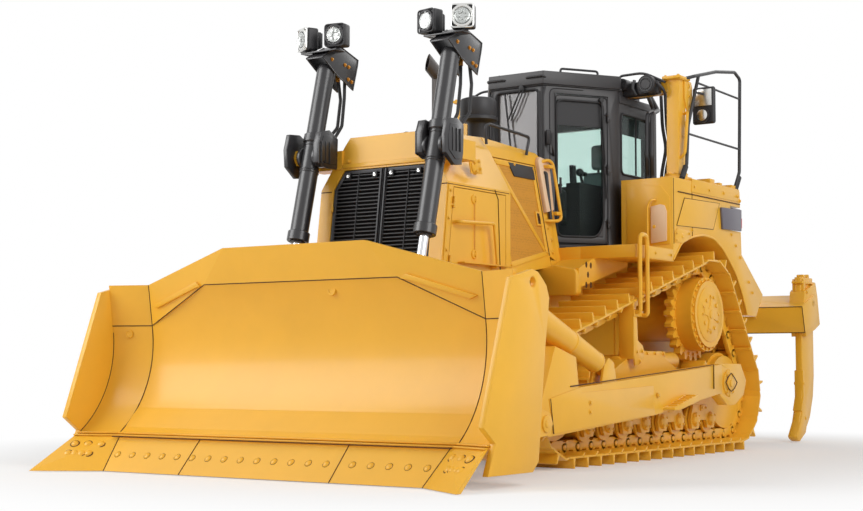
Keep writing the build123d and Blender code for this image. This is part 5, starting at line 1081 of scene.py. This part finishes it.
def build_climate():
    parts = []
    for y in (330, 470):
        parts += [fan_housing(y), lathe([(0, 9), (30, 9), (34, 5), (0, 5)], (-745, y, 3375), (1, 0, 0), 20)]
    parts += [block((-1095, -850), (250, 545), (3300, 3440), 25, 3),
              tube([(-420, 640, 3400), (-640, 700, 3470), (-900, 640, 3450)], 12, 80)]
    for i in range(7):
        parts.append(block((-1110, -1098), (-480, 480), (3312 + 16 * i, 3320 + 16 * i), 2))
    piece(parts, "air_conditioner_covers", PLASTIC)
    piece([fan_housing(-330), fan_housing(-470), block((-1095, -850), (-545, -250), (3300, 3440), 25, 3)],
          "air_conditioner_covers_right", PLASTIC)
    # pod and hoses in front of the roll-over beam
    parts = [block((-540, -462), (668, 1060), (3296, 3428), 22, 3)]
    for y, z, r in ((955, 3385, 86), (706, 3408, 56)):
        parts.append(lathe([(0, 14), (r * 0.5, 14), (r * 0.55, 8), (r * 0.62, 8), (r * 0.66, 14),
                            (r * 0.8, 14), (r * 0.84, 8), (r * 0.9, 8), (r * 0.95, 14), (r, 6), (r, -90),
                            (0, -90)], (-420, y, z), (1, 0, 0), 32))
    parts += [tube([(-480, 640, 3420), (-470, 650, 3500), (-480, 900, 3508), (-490, 1115, 3400)], 12, 70),
              tube([(-450, 820, 3440), (-430, 810, 3360), (-450, 840, 3300)], 16, 40),
              tube([(-440, 1060, 3390), (-470, 1110, 3330), (-520, 1100, 3280)], 14, 40)]
    piece(parts, "air_conditioner_pods", PLASTIC, mirror=True)
    coat(PLASTIC, "climate_unit")

    # the step's hoop: a stouter tube on a post that is bolted to the frame
    def of_step(face):
        return face.center.x > 0 and face.center.z < 2.2

    rails = tube([(478, 1290, 1262), (478, 1345, 1262), (478, 1345, 1925), (344, 1345, 1918),
                  (344, 1345, 1236), (344, 1290, 1236)], 20, 62)
    piece([trim(from_frame("handrails", 0), of_step)], "handrails_black", PLASTIC, stands_for=("handrails",))
    post = [(500, 1400), (470, 1392), (436, 1224), (421, 1021), (330, 975), (312, 930), (322, 870),
            (400, 815), (477, 808), (500, 960)]
    plates = [side_shape(post, 1276, 1292, 4), block((490, 502), (1150, 1292), (860, 1400), 4),
              side_shape([(502, 1280), (330, 1270), (330, 1222), (502, 1222)], 1284, 1300, 4),
              side_bolts(1291, ((444, 923), (345, 930), (392, 845)), 12, 10)]
    plates = mirrored(join(plates))
    piece([rails, plates], "step_rails", YELLOW)


# ------------------------------------------------------------------ rear body
def build_fenders():
    for _, name in SIDES:
        stand_in("fender_" + name, "fender_shell_" + name, 10, YELLOW)
    # front corner door with its latch and hinges, steel edge strips and seams
    parts = [outline([(-252, 835, 1884), (-252, 1272, 1888), (-252, 1272, 2311), (-252, 1180, 2420),
                      (-252, 835, 2450)], (8, 0, 0), 4),
             tube([(-240, 1068, 1830), (-205, 1068, 1850), (-205, 1066, 2240), (-205, 1100, 2290),
                   (-240, 1130, 2292)], 11, 40),
             lathe([(0, 14), (12, 14), (18, 8), (22, 0), (0, 0)], (-240, 1120, 2050), (1, 0, 0), 16)]
    door = [(-275, 1900), (-275, 2000), (-330, 2034), (-560, 2030), (-600, 1985), (-500, 1925), (-420, 1905)]
    parts += [side_shape(door, 1299, 1309, 5),
              side_bolts(1308, ((-560, 2000), (-300, 1990), (-300, 1925)), 11, 9),
              lathe([(0, 12), (14, 12), (20, 6), (26, 0), (0, 0)], (-420, 1308, 1970), (0, 1, 0), 20)]
    # outward plate along the top edge with bolts and small blocks
    parts += [outline([(-640, 1180, 2490), (-1680, 1180, 2490), (-1680, 1180, 2512), (-640, 1180, 2512)],
                      (0, 125, 0), 4),
              side_shape([(-640, 2500), (-1680, 2500), (-1655, 2388), (-620, 2388)], FENDER_Y, 1306, 3),
              bolts([((x, 1305, 2440), (0, 1, 0)) for x in (-680, -1000, -1320, -1640)], 13, 10),
              bolts([((x, 1240, 2511), (0, 0, 1)) for x in (-800, -1060, -1320, -1560)], 14, 11)]
    for x0, x1, h in ((-1160, -1050, 46), (-1640, -1540, 34), (-1330, -1270, 28)):
        parts.append(block((x0, x1), (1150, 1290), (2500, 2512 + h), 8))
    # recessed panel below, and the rolled lip round the arch
    parts.append(side_shape([(-477, 2318), (-1223, 2335), (-1080, 2078), (-316, 2058)], FENDER_Y, 1306, 3))
    arch = [(-250, 1740), (-420, 1905), (-640, 1972), (-870, 2007), (-1100, 1990), (-1290, 1912),
            (-1450, 1800), (-1600, 1680), (-1740, 1500), (-1850, 1300)]
    parts += [tube([(x, 1297, z + 6) for x, z in arch], 11, 60),
              side_bolts(1299, ((-1500, 2060), (-1600, 1960), (-1700, 1850), (-640, 2040), (-1700, 2400),
                                (-1900, 1620), (-1980, 1520)), 12, 9)]
    # non-slip strips on the platform, and its bolted side
    for i in range(8):
        parts.append(block((-200 + 80 * i, -170 + 80 * i), (820, 1270), (1838, 1845), 2))
    parts += [side_shape([(-240, 1738), (462, 1738), (462, 1832), (-240, 1832)], FENDER_Y, 1303, 2),
              bolts([((x, 1302, 1785), (0, 1, 0)) for x in (-200, 100, 420)], 11, 9),
              block((448, 472), (520, 760), (1660, 1838), 4)]
    cover = [(490, 1405), (880, 1396), (906, 1420), (906, 1592), (884, 1624), (694, 1662), (520, 1640),
             (490, 1600)]
    parts.append(outline([(792, y, z) for y, z in cover], (-90, 0, 0), 14, 3))
    piece(parts, "fender_details", YELLOW, mirror=True)
    # oval holes in the frame plate, drawn as thin dark discs of painted shade
    oval = lathe([(0, 2), (14, 2), (18, 0), (0, 0)], (0, 0, 0), (0, 1, 0), 16)
    holes = copies(oval, [Matrix.Translation(at(x, 905, z)) @ Matrix.Diagonal((1, 1, 1.5, 1))
                          @ Matrix.Translation(-at(0, 0, 0))
                          for x, z in ((621, 1669), (543, 1666), (623, 1496), (544, 1498), (593, 1584))])
    piece([holes], "frame_plate_holes", SEAM_SHADE, mirror=True)
    door = [(1086, 1900), (1243, 1918), (1245, 2180), (1225, 2236), (1180, 2248), (1086, 2232)]
    piece([outline([(-243, y, z) for y, z in door], (12, 0, 0), 4)], "fender_lockers", PALE, mirror=True)
    # joints on the fender and round its recessed panel, drawn as dark lines of painted shade
    seams = [tube([(-640, 1300, 1975), (-640, 1300, 2385)], 4),
             tube([(-262, 1300, 1890), (-262, 1300, 2480)], 4),
             tube([(-346, 1305, 2366), (-1690, 1305, 2366)], 5),
             tube([(-477, 1304, 2318), (-1223, 1304, 2335), (-1080, 1304, 2078), (-316, 1304, 2058),
                   (-477, 1304, 2318)], 3.5)]
    piece(seams, "fender_seams", SEAM_SHADE, mirror=True)
    # tail lamps: a moulded body with a red lens round the rear corner
    stand_in("tail_lamps", "tail_lamp_bodies", 14, GREY, segments=3)
    shell = side_shape([(-1236, 2300), (-1262, 2094), (-1690, 2104), (-1694, 2314)], FENDER_Y, 1324, 8)
    piece([shell], "tail_lamp_shells", GREY, mirror=True)
    lens = [side_shape([(-1690, 2122), (-1706, 2140), (-1706, 2235), (-1660, 2122)], 1230, 1322, 6),
            block((-1709, -1700), (1175, 1300), (2250, 2300), 6)]
    piece(lens, "tail_lamp_lenses", RED, mirror=True)
    # tank: filler caps, straps, bolts and a sight glass frame
    parts = [lathe([(0, 58), (46, 58), (56, 48), (56, 22), (66, 16), (66, 0), (0, 0)], (-1400, 430, 2480),
                   (0, 0, 1), 28),
             lathe([(0, 50), (36, 50), (44, 42), (44, 0), (0, 0)], (-1400, -430, 2480), (0, 0, 1), 24)]
    for y in (-500, 0, 500):
        parts.append(outline([(-1690, y - 25, 2482), (-1150, y - 25, 2482), (-1150, y - 25, 2488),
                              (-1690, y - 25, 2488)], (0, 50, 0), 2))
    parts += [bolts([((-1716, y, z), (-1, 0, -0.08)) for y in (-600, -300, 0, 300, 600)
                     for z in (2000, 2380)], 13, 10),
              outline([(-1718, -420, 2050), (-1718, 420, 2050), (-1692, 420, 2330), (-1692, -420, 2330)],
                      (-8, 0, 0), 3)]
    piece(parts, "tank_fittings", YELLOW)
    coat(YELLOW, "fuel_tank")


def build_rops():
    stand_in("rops", "rops_rounded", 38, YELLOW, segments=4, smooth=50)
    parts = [lathe([(0, 62), (96, 62), (104, 54), (104, 0), (0, 0)], (*ROPS_POST, 2490), (0, 0, 1), 36)]
    x, y = ROPS_POST
    parts += [bolts([((x + 86 * math.cos(a), y + 86 * math.sin(a), 2551), (0, 0, 1)) for a in turns(8, 0.5)],
                    14, 12),
              block((-728, -500), (1075, 1255), (3430, 3458), 6),
              bolts([((x, y, 3457), (0, 0, 1)) for x in (-705, -525) for y in (1100, 1230)], 12, 10)]
    hanger = [(-640, 3430), (-780, 3430), (-800, 3380), (-800, 3200), (-750, 3130), (-690, 3150),
              (-640, 3260)]
    parts += [side_shape(hanger, 1224, 1240, 6),
              bolts([((-730, 1239, z), (0, 1, 0)) for z in (3390, 3290, 3200)], 11, 9)]
    grab = tube([(-570, 1225, 2700), (-560, 1275, 2740), (-590, 1285, 3060), (-620, 1275, 3130),
                 (-640, 1228, 3110)], 14, 45)
    piece(parts + [grab], "rops_details", YELLOW, mirror=True)
    # rubber boots at the ladder's feet
    boots = [rod((-1738, 1280, 2640), (-1640, 1280, 2500), 26, 20, 6),
             rod((-560, 1280, 2620), (-478, 1280, 2500), 26, 20, 6)]
    piece(boots, "ladder_boots", RUBBER, mirror=True)
    # mirror: rounded case, silvered face and a round lamp below
    case = block((-946, -898), (1186, 1414), (3050, 3400), 30, 4)
    lamp = lathe([(0, 0), (60, 0), (72, 10), (74, 30), (0, 30)], (-900, 1300, 3130), (1, 0, 0), 28)
    piece([case, lamp], "mirror_cases", PLASTIC, mirror=True, stands_for=("mirrors",))
    piece([tube([(-770, 1280, 3330), (-905, 1310, 3330)], 12)], "mirror_arms", PLASTIC, mirror=True)
    glass = [block((-895, -891), (1212, 1388), (3220, 3376), 2),
             lathe([(0, 34), (50, 32), (58, 26), (0, 26)], (-900, 1300, 3130), (1, 0, 0), 28)]
    piece(glass, "mirror_glasses", REFLECTOR, mirror=True)


# ------------------------------------------------------------------ cylinders and lamps
RUN = math.hypot(LIFT_EYE[0] - YOKE[0], YOKE[1] - LIFT_EYE[1])
DOWN = ((LIFT_EYE[0] - YOKE[0]) / RUN, (LIFT_EYE[1] - YOKE[1]) / RUN)


def lift_point(d):
    """Point this far down the left lift cylinder from its trunnion."""
    return (YOKE[0] + DOWN[0] * d, LIFT_Y, YOKE[1] + DOWN[1] * d)


def build_lift_cylinders():
    body = "lift_barrels"
    parts = [sleeve(lift_point(-190), lift_point(-120), 90, 72),
             sleeve(lift_point(640), lift_point(722), 90, 72),
             sleeve(lift_point(716), lift_point(735), 62, 40),
             rod(lift_point(-806), lift_point(-780), 66, 32, 8)]
    # clamp covers each side of the yoke, ribbed
    outer = [(2345, 2655), (2430, 2700), (2560, 2690), (2596, 2560), (2584, 2420), (2470, 2335), (2375, 2345),
             (2352, 2440)]
    inner = [(2290, 2660), (2400, 2722), (2500, 2700), (2540, 2600), (2536, 2436), (2440, 2404), (2300, 2408)]
    for cover, y0, y1, y2 in ((inner, 478, 490, 470), (outer, 767, 806, 814)):
        parts.append(side_shape(cover, y0, y1, 5))
        middle = Vector((sum(c[0] for c in cover), sum(c[1] for c in cover))) / len(cover)
        pad = [tuple(middle.lerp(Vector(c), 0.76)) for c in cover]
        parts.append(side_shape(pad, *sorted((y2, (y0 + y1) / 2)), 3))
        for x in (2410, 2460, 2510):
            parts.append(block((x - 6, x + 6), sorted((y2, y2 + (8 if y2 > 600 else -8))), (2440, 2620), 2))
    parts.append(side_shape([(2380, 2700), (2500, 2700), (2536, 2600), (2534, 2446), (2480, 2410),
                             (2440, 2410)], 486, 545, 8))
    for d in (-120, -96, 112, 132):
        parts.append(sleeve(lift_point(d - 6), lift_point(d + 6), 80, 72, 3))
    # welded rims on the bracket plates
    bracket = [(2425, 3335), (2200, 3460), (1950, 3380), (1958, 3330), (2018, 3113), (2243, 3215)]
    for y in (LIFT_Y - 84, LIFT_Y + 84):
        parts.append(tube([(x, y, z) for x, z in bracket + bracket[:1]], 6))
    piece(parts, "lift_cylinder_covers", BLACK, body, mirror=True)
    pins = bolts([((x, y, z), (0, s, 0))
                  for x, z in ((2080, 3300), (2130, 3310), (2040, 3180), (2085, 3195), (2300, 3330))
                  for y, s in ((LIFT_Y - 86, -1), (LIFT_Y + 86, 1))], 11, 9)
    fittings = [rod((2070, LIFT_Y + o, 3255), (2070, LIFT_Y + o, 3190), 20, 6, 3) for o in (-38, 38)]
    fittings += [rod((2358, LIFT_Y + o, 2572), (2310, LIFT_Y + o, 2600), 20, 6, 3) for o in (-38, 38)]
    piece([pins] + fittings, "lift_cylinder_fittings", BRASS, body, mirror=True)
    # lamps: open housing, reflector with chips, clear lens, bezel and bracket
    for label, y, turn, shade in (("inner", LIFT_Y - 158, -11, PLASTIC),
                                  ("outer", LIFT_Y + 158, 25, REFLECTOR)):
        def place(made):
            """Turns a lamp's pieces, made at zero, and lifts them onto the shelf."""
            return turned(made, math.radians(turn), "Z", (0, 0, 0), (2325, y, 3512))

        case = [block((-62, 40), (-92, 92), (-95, 95), 18, 3),
                block((-104, -60), (-66, 66), (-70, 70), 14, 3), block((-30, 22), (-12, 12), (-128, -92), 4)]
        for i in range(5):
            case.append(block((-112, -100), (-58 + 26 * i, -50 + 26 * i), (-62, 62), 2))
        piece([place(case)], "lamp_cases_" + label, PLASTIC, body, mirror=True)
        bezel = lathe([(62, 40), (86, 40), (92, 48), (86, 58), (72, 58), (68, 48)], (0, 0, 0), (1, 0, 0), 32)
        soften(bezel, 1, 1, 30)
        rim = tube([(48, 0, 90), (48, -88, 90), (48, -88, -90), (48, 88, -90), (48, 88, 90), (48, 0, 90)], 7,
                   26)
        piece([place([bezel, rim])], "lamp_bezels_" + label, shade, body, mirror=True)
        chips = [lathe([(0, 42), (30, 42), (66, 56), (72, 50), (66, 41), (0, 38)], (0, 0, 0), (1, 0, 0), 28)]
        for a in turns(6):
            chips.append(lathe([(0, 56), (12, 54), (16, 46), (0, 42)],
                               (0, 34 * math.cos(a), 34 * math.sin(a)), (1, 0, 0), 12))
        piece([place(chips)], "lamp_reflectors_" + label, REFLECTOR, body, mirror=True)
        lens = lathe([(0, 62), (40, 61), (74, 56), (74, 53), (0, 58)], (0, 0, 0), (1, 0, 0), 32)
        piece([place([lens])], "lamp_lenses_" + label, LENS, body, mirror=True)
    shelf = block((2255, 2375), (LIFT_Y - 188, LIFT_Y + 188), (3386, 3400), 4)
    piece([shelf], "lamp_shelves", BLACK, body, mirror=True, stands_for=("work_lights",))
    # barrels, open inside so that the rods slide in them, with their trunnions and bracket plates
    barrel = [sleeve(lift_point(-800), lift_point(720), 75, 62, 4, 44),
              rod(lift_point(-799), lift_point(-775), 68, 32),
              sleeve(lift_point(690), lift_point(719), 68, 39, 3, 44)]
    for side in (-1, 1):
        barrel.append(side_shape(bracket, *sorted((LIFT_Y + side * 73, LIFT_Y + side * 85)), 2))
        inner, outer = LIFT_Y + side * 61, LIFT_Y + side * 93
        barrel.append(block((2372, 2500), sorted((inner, outer)), (2430, 2570), 10))
        x, z = YOKE
        barrel += [rod((x, LIFT_Y + side * 60, z), (x, LIFT_Y + side * 94, z), 84, 32, 6),
                   rod((x, LIFT_Y + side * 64, z), (x, LIFT_Y + side * 137, z), 35, 24)]
    lid = [(2425, 3323), (2425, 3335), (2200, 3460), (2200, 3448)]
    barrel.append(side_shape(lid, LIFT_Y - 85, LIFT_Y + 85, 1))
    piece(barrel, "lift_barrels_rounded", BLACK, body, mirror=True, stands_for=("lift_cylinder_barrels",))
    coat(RUBBER, "lift_hoses")


# ------------------------------------------------------------------ ripper
def build_ripper():
    stand_in("ripper_beam", "ripper_beam_rounded", 10, YELLOW, "ripper")
    stand_in("ripper_shanks", "ripper_shanks_rounded", 9, YELLOW, "ripper")
    parts = []
    for y in (-1120, 0, 1120):
        # pin and keeper through each pocket, cap plates, shank tip with its pin and guard
        parts += [cross_pin(-3760, y, 1480, 112, 42), cross_pin(-3760, y, 1480, 96, 66),
                  block((-3960, -3570), (y - 60, y + 60), (1690, 1716), 6),
                  block((-3640, -3600), (y - 66, y + 66), (1560, 1740), 8),
                  block((-3720, -3660), (y - 40, y + 40), (1750, 1790), 8),
                  cross_pin(-3830, y, 1772, 30, 26, 16, 4)]
        tip = [(-3740, 330), (-3590, 430), (-3500, 215), (-3378, 66), (-3398, 40), (-3470, 9), (-3640, 95)]
        parts.append(side_shape(tip, y - 52, y + 52, 10))
        guard = [(-3584, 760), (-3584, 480), (-3520, 330), (-3560, 320), (-3620, 470), (-3622, 760)]
        parts.append(side_shape(guard, y - 50, y + 50, 7))
        for px, pz in ((-3640, 250), (-3605, 620)):
            parts.append(cross_pin(px, y, pz, 58, 17, 16, 3))
        parts.append(bolts([((px, y + s * 84, pz), (0, s, 0)) for s in (-1, 1)
                            for px, pz in ((-3640, 1230), (-3900, 1290), (-3640, 1600))], 15, 11))
    parts.append(outline([(-3440, -1150, 1424), (-3808, -1150, 1562), (-3812, -1150, 1572),
                          (-3438, -1150, 1436)], (0, 2300, 0), 3))
    for y in (-560, 560):
        parts.append(rod((-3700, y, 1505), (-3700, y, 1585), 30, 16, 6))
    piece(parts, "ripper_details", YELLOW, "ripper")
    # dark lines of painted shade along the edges of the beam's front face and down its ends
    seams = [tube([(x, -1233, z), (x, 1233, z)], 4) for x, z in ((-3425, 1434), (-3497, 1159))]
    seams += [tube([(-3425, s * 1234, 1434), (-3497, s * 1234, 1159)], 4) for s in (1, -1)]
    piece(seams, "ripper_seams", SEAM_SHADE, "ripper")
    # pins of the links, the lower cylinders and the upper cylinders
    parts = [cross_pin(RIPPER_X, y, 860, 88, 50) for y in (430, -430)]
    parts += [cross_pin(RIPPER_X, y, z, 84, 46)
              for y, z in ((-620, 480), (620, 480), (250, 1310), (-250, 1310))]
    parts += [bolts([((-2078, y, z), (-1, 0, 0)) for y in (-500, -330, 330, 500)
                     for z in (640, 1010, 1180, 1420)], 17, 13),
              outline([(-2081, -90, 760), (-2081, 90, 760), (-2081, 90, 1200), (-2081, -90, 1200)],
                      (-10, 0, 0), 4)]
    piece(parts, "ripper_bracket_pins", YELLOW)
    coat(YELLOW, "ripper_links")
    coat(BLACK, "ripper_lift_barrels", "ripper_tilt_cylinders")


# ------------------------------------------------------------------ stage
VIEWPOINT = (12.0305, 7.405, 0.795)
VIEW_YAW, VIEW_PITCH = math.radians(-146.161), math.radians(4.295)
LAMPS = (("key", (10.8, -7.8, 7.5), (1.5, 0, 1), 8), ("side", (4, 12, 8), (0, 0, 1.2), 8),
         ("back", (-10, 2, 9), (-1, 0, 1), 7))      # name, place, target and width in metres


def seen_ray(tree):
    """Node whose value is 1 for camera, transmitted and glossy rays."""
    ray = add(tree, "ShaderNodeLightPath")
    straight = add(tree, "ShaderNodeMath", {"operation": "MAXIMUM"},
                   [(0, ray, "Is Camera Ray"), (1, ray, "Is Transmission Ray")])
    return add(tree, "ShaderNodeMath", {"operation": "MAXIMUM"},
               [(0, straight, "Value"), (1, ray, "Is Glossy Ray")])


def build_stage(light):
    scene = bpy.context.scene
    scene.view_settings.view_transform = "Standard"
    world = bpy.data.worlds.new("Studio")
    scene.world = world
    world.use_nodes = True
    tree = world.node_tree
    tree.nodes.clear()
    seen = seen_ray(tree)
    soft = add(tree, "ShaderNodeBackground", {"Color": (1, 1, 1, 1), "Strength": light.ambient})
    white = add(tree, "ShaderNodeBackground", {"Color": (1, 1, 1, 1), "Strength": 1.0})
    mix = add(tree, "ShaderNodeMixShader", {},
              [(0, seen, "Value"), (1, soft, "Background"), (2, white, "Background")])
    add(tree, "ShaderNodeOutputWorld", {}, [("Surface", mix, "Shader")])
    # matt floor that pales to plain white between 3 and 6.6 m from the machine's middle
    free()
    bpy.ops.mesh.primitive_plane_add(size=160, location=(0, 0, 0))
    floor = bpy.context.object
    floor.name = "floor"
    material = bpy.data.materials.new("Pale studio floor")
    material.use_nodes = True
    tree = material.node_tree
    tree.nodes.clear()
    place = add(tree, "ShaderNodeTexCoord")
    length = add(tree, "ShaderNodeVectorMath", {"operation": "LENGTH"}, [(0, place, "Object")])
    far = add(tree, "ShaderNodeMapRange",
              {"interpolation_type": "SMOOTHSTEP", "From Min": 3.0, "From Max": 6.6, "To Min": 0.22},
              [("Value", length, "Value")])
    matt = add(tree, "ShaderNodeBsdfDiffuse", {"Color": (0.93, 0.93, 0.93, 1)})
    glow = add(tree, "ShaderNodeEmission", {"Color": (1, 1, 1, 1), "Strength": 1.0})
    seen = seen_ray(tree)
    shown = add(tree, "ShaderNodeMath", {"operation": "MULTIPLY"}, [(0, seen, "Value"), (1, far, "Result")])
    mix = add(tree, "ShaderNodeMixShader", {},
              [(0, shown, "Value"), (1, matt, "BSDF"), (2, glow, "Emission")])
    add(tree, "ShaderNodeOutputMaterial", {}, [("Surface", mix, "Shader")])
    floor.data.materials.append(material)
    for name, spot, target, size in LAMPS:
        bpy.ops.object.light_add(type="AREA", location=spot,
                                 rotation=(Vector(target) - Vector(spot)).to_track_quat("-Z", "Y").to_euler())
        lamp = bpy.context.object
        lamp.name = name
        lamp.data.size = size
        lamp.data.energy = getattr(light, name)
    bpy.ops.object.camera_add(location=VIEWPOINT)
    camera = bpy.context.object
    level = math.cos(VIEW_PITCH)
    look = Vector((math.cos(VIEW_YAW) * level, math.sin(VIEW_YAW) * level, math.sin(VIEW_PITCH)))
    camera.rotation_euler = look.to_track_quat("-Z", "Y").to_euler()
    camera.data.sensor_width = 36
    camera.data.lens = 64.23
    camera.data.shift_x = -0.0448
    camera.data.shift_y = -0.0048
    camera.data.clip_end = 500
    scene.camera = camera


# ------------------------------------------------------------------ add-on
class DozerTones(bpy.types.PropertyGroup):
    """Colours of the dozer's finishes, as sRGB hex."""
    yellow: bpy.props.StringProperty(name="Machine yellow", description="Enamel on the chassis and tools",
                                     default="#F3B733")
    cab: bpy.props.StringProperty(name="Cab grey", description="Powder coat on the cab", default="#353334")
    cylinder: bpy.props.StringProperty(name="Cylinder black", description="Enamel on the lift cylinders",
                                       default="#2B2A2C")
    glass: bpy.props.StringProperty(name="Glass tint", description="Tint of the cab's glazing",
                                    default="#D9EAE5")


class DozerLight(bpy.types.PropertyGroup):
    """Strength of the studio's light."""
    ambient: bpy.props.FloatProperty(name="Ambient", description="Strength of the even light", default=0.26,
                                     min=0)
    key: bpy.props.FloatProperty(name="Key light", description="Power of the front lamp", default=1050, min=0,
                                 unit="POWER")
    side: bpy.props.FloatProperty(name="Side light", description="Power of the side lamp", default=900, min=0,
                                  unit="POWER")
    back: bpy.props.FloatProperty(name="Back light", description="Power of the rear lamp", default=300, min=0,
                                  unit="POWER")


class DozerSizes(bpy.types.PropertyGroup):
    """Sizes of repeated details."""
    edge: bpy.props.FloatProperty(name="Enamel edge", description="Radius that softens the enamel's edges",
                                  default=0.005, min=0, unit="LENGTH")
    louvre: bpy.props.FloatProperty(name="Louvre pitch",
                                    description="Height from one louvre of the grille to the next",
                                    default=0.031, min=0.02, unit="LENGTH")
    bolt: bpy.props.FloatProperty(name="Shoe bolt",
                                  description="Radius of the bolt heads on the track's shoes", default=0.013,
                                  min=0.005, unit="LENGTH")


class DOZER_OT_finishes(bpy.types.Operator):
    """Makes the dozer's materials"""
    bl_idname = "dozer.finishes"
    bl_label = "Finishes"
    bl_options = {"REGISTER", "UNDO"}

    def execute(self, context):
        make_finishes(context.scene.dozer_tones, context.scene.dozer_sizes)
        return {"FINISHED"}


class DOZER_OT_tracks(bpy.types.Operator):
    """Shoes and links round both tracks"""
    bl_idname = "dozer.tracks"
    bl_label = "Tracks"
    bl_options = {"REGISTER", "UNDO"}

    def execute(self, context):
        build_tracks(context.scene.dozer_sizes)
        return {"FINISHED"}


class DOZER_OT_undercarriage(bpy.types.Operator):
    """Final drive covers, roller ends and frame details"""
    bl_idname = "dozer.undercarriage"
    bl_label = "Undercarriage"
    bl_options = {"REGISTER", "UNDO"}

    def execute(self, context):
        build_undercarriage()
        return {"FINISHED"}


class DOZER_OT_blade(bpy.types.Operator):
    """Edge bolts, ledges, seams and end plates"""
    bl_idname = "dozer.blade"
    bl_label = "Blade"
    bl_options = {"REGISTER", "UNDO"}

    def execute(self, context):
        build_blade()
        return {"FINISHED"}


class DOZER_OT_push_arms(bpy.types.Operator):
    """Push arms, trunnion caps and tilt cylinders"""
    bl_idname = "dozer.push_arms"
    bl_label = "Push Arms"
    bl_options = {"REGISTER", "UNDO"}

    def execute(self, context):
        build_push_arms()
        return {"FINISHED"}


class DOZER_OT_guard(bpy.types.Operator):
    """Guard, grille and side door fittings"""
    bl_idname = "dozer.guard"
    bl_label = "Radiator Guard"
    bl_options = {"REGISTER", "UNDO"}

    def execute(self, context):
        build_guard(context.scene.dozer_sizes)
        return {"FINISHED"}


class DOZER_OT_hood(bpy.types.Operator):
    """Engine doors, rails, intake and exhaust"""
    bl_idname = "dozer.hood"
    bl_label = "Hood"
    bl_options = {"REGISTER", "UNDO"}

    def execute(self, context):
        build_hood()
        return {"FINISHED"}


class DOZER_OT_cab(bpy.types.Operator):
    """Cab shell, doors, wipers and seat"""
    bl_idname = "dozer.cab"
    bl_label = "Cab"
    bl_options = {"REGISTER", "UNDO"}

    def execute(self, context):
        build_cab()
        return {"FINISHED"}


class DOZER_OT_climate(bpy.types.Operator):
    """Air conditioner behind the cab roof and the step rails"""
    bl_idname = "dozer.climate"
    bl_label = "Climate Unit"
    bl_options = {"REGISTER", "UNDO"}

    def execute(self, context):
        build_climate()
        return {"FINISHED"}


class DOZER_OT_fenders(bpy.types.Operator):
    """Fenders, tail lamps and tank fittings"""
    bl_idname = "dozer.fenders"
    bl_label = "Fenders"
    bl_options = {"REGISTER", "UNDO"}

    def execute(self, context):
        build_fenders()
        return {"FINISHED"}


class DOZER_OT_rops(bpy.types.Operator):
    """Roll-over frame, mirrors and boots"""
    bl_idname = "dozer.rops"
    bl_label = "Roll-over Frame"
    bl_options = {"REGISTER", "UNDO"}

    def execute(self, context):
        build_rops()
        return {"FINISHED"}


class DOZER_OT_lift_cylinders(bpy.types.Operator):
    """Lift cylinder covers, fittings and lamps"""
    bl_idname = "dozer.lift_cylinders"
    bl_label = "Lift Cylinders"
    bl_options = {"REGISTER", "UNDO"}

    def execute(self, context):
        build_lift_cylinders()
        return {"FINISHED"}


class DOZER_OT_ripper(bpy.types.Operator):
    """Ripper beam, shanks, tips and pins"""
    bl_idname = "dozer.ripper"
    bl_label = "Ripper"
    bl_options = {"REGISTER", "UNDO"}

    def execute(self, context):
        build_ripper()
        return {"FINISHED"}


class DOZER_OT_stage(bpy.types.Operator):
    """Floor, light and camera"""
    bl_idname = "dozer.stage"
    bl_label = "Stage"
    bl_options = {"REGISTER", "UNDO"}

    def execute(self, context):
        build_stage(context.scene.dozer_light)
        return {"FINISHED"}


STEPS = (
    DOZER_OT_finishes, DOZER_OT_tracks, DOZER_OT_undercarriage, DOZER_OT_blade, DOZER_OT_push_arms,
    DOZER_OT_guard, DOZER_OT_hood, DOZER_OT_cab, DOZER_OT_climate, DOZER_OT_fenders, DOZER_OT_rops,
    DOZER_OT_lift_cylinders, DOZER_OT_ripper, DOZER_OT_stage)


class DOZER_PT_panel(bpy.types.Panel):
    """Lists the dozer's build steps and settings."""
    bl_label = "Dozer"
    bl_idname = "DOZER_PT_panel"
    bl_space_type = "VIEW_3D"
    bl_region_type = "UI"
    bl_category = "Dozer"

    def draw(self, context):
        for group in (context.scene.dozer_tones, context.scene.dozer_sizes, context.scene.dozer_light):
            for name in group.__annotations__:
                self.layout.prop(group, name)
        for operator in STEPS:
            self.layout.operator(operator.bl_idname)


CLASSES = (DozerTones, DozerSizes, DozerLight) + STEPS + (DOZER_PT_panel,)


def register():
    for item in CLASSES:
        bpy.utils.register_class(item)
    bpy.types.Scene.dozer_tones = bpy.props.PointerProperty(type=DozerTones)
    bpy.types.Scene.dozer_sizes = bpy.props.PointerProperty(type=DozerSizes)
    bpy.types.Scene.dozer_light = bpy.props.PointerProperty(type=DozerLight)


def unregister():
    del bpy.types.Scene.dozer_light
    del bpy.types.Scene.dozer_sizes
    del bpy.types.Scene.dozer_tones
    for item in reversed(CLASSES):
        bpy.utils.unregister_class(item)


def main():
    register()
    for operator in STEPS:
        name = operator.bl_idname.split(".")[1]
        getattr(bpy.ops.dozer, name)()


if __name__ == "__main__":
    main()
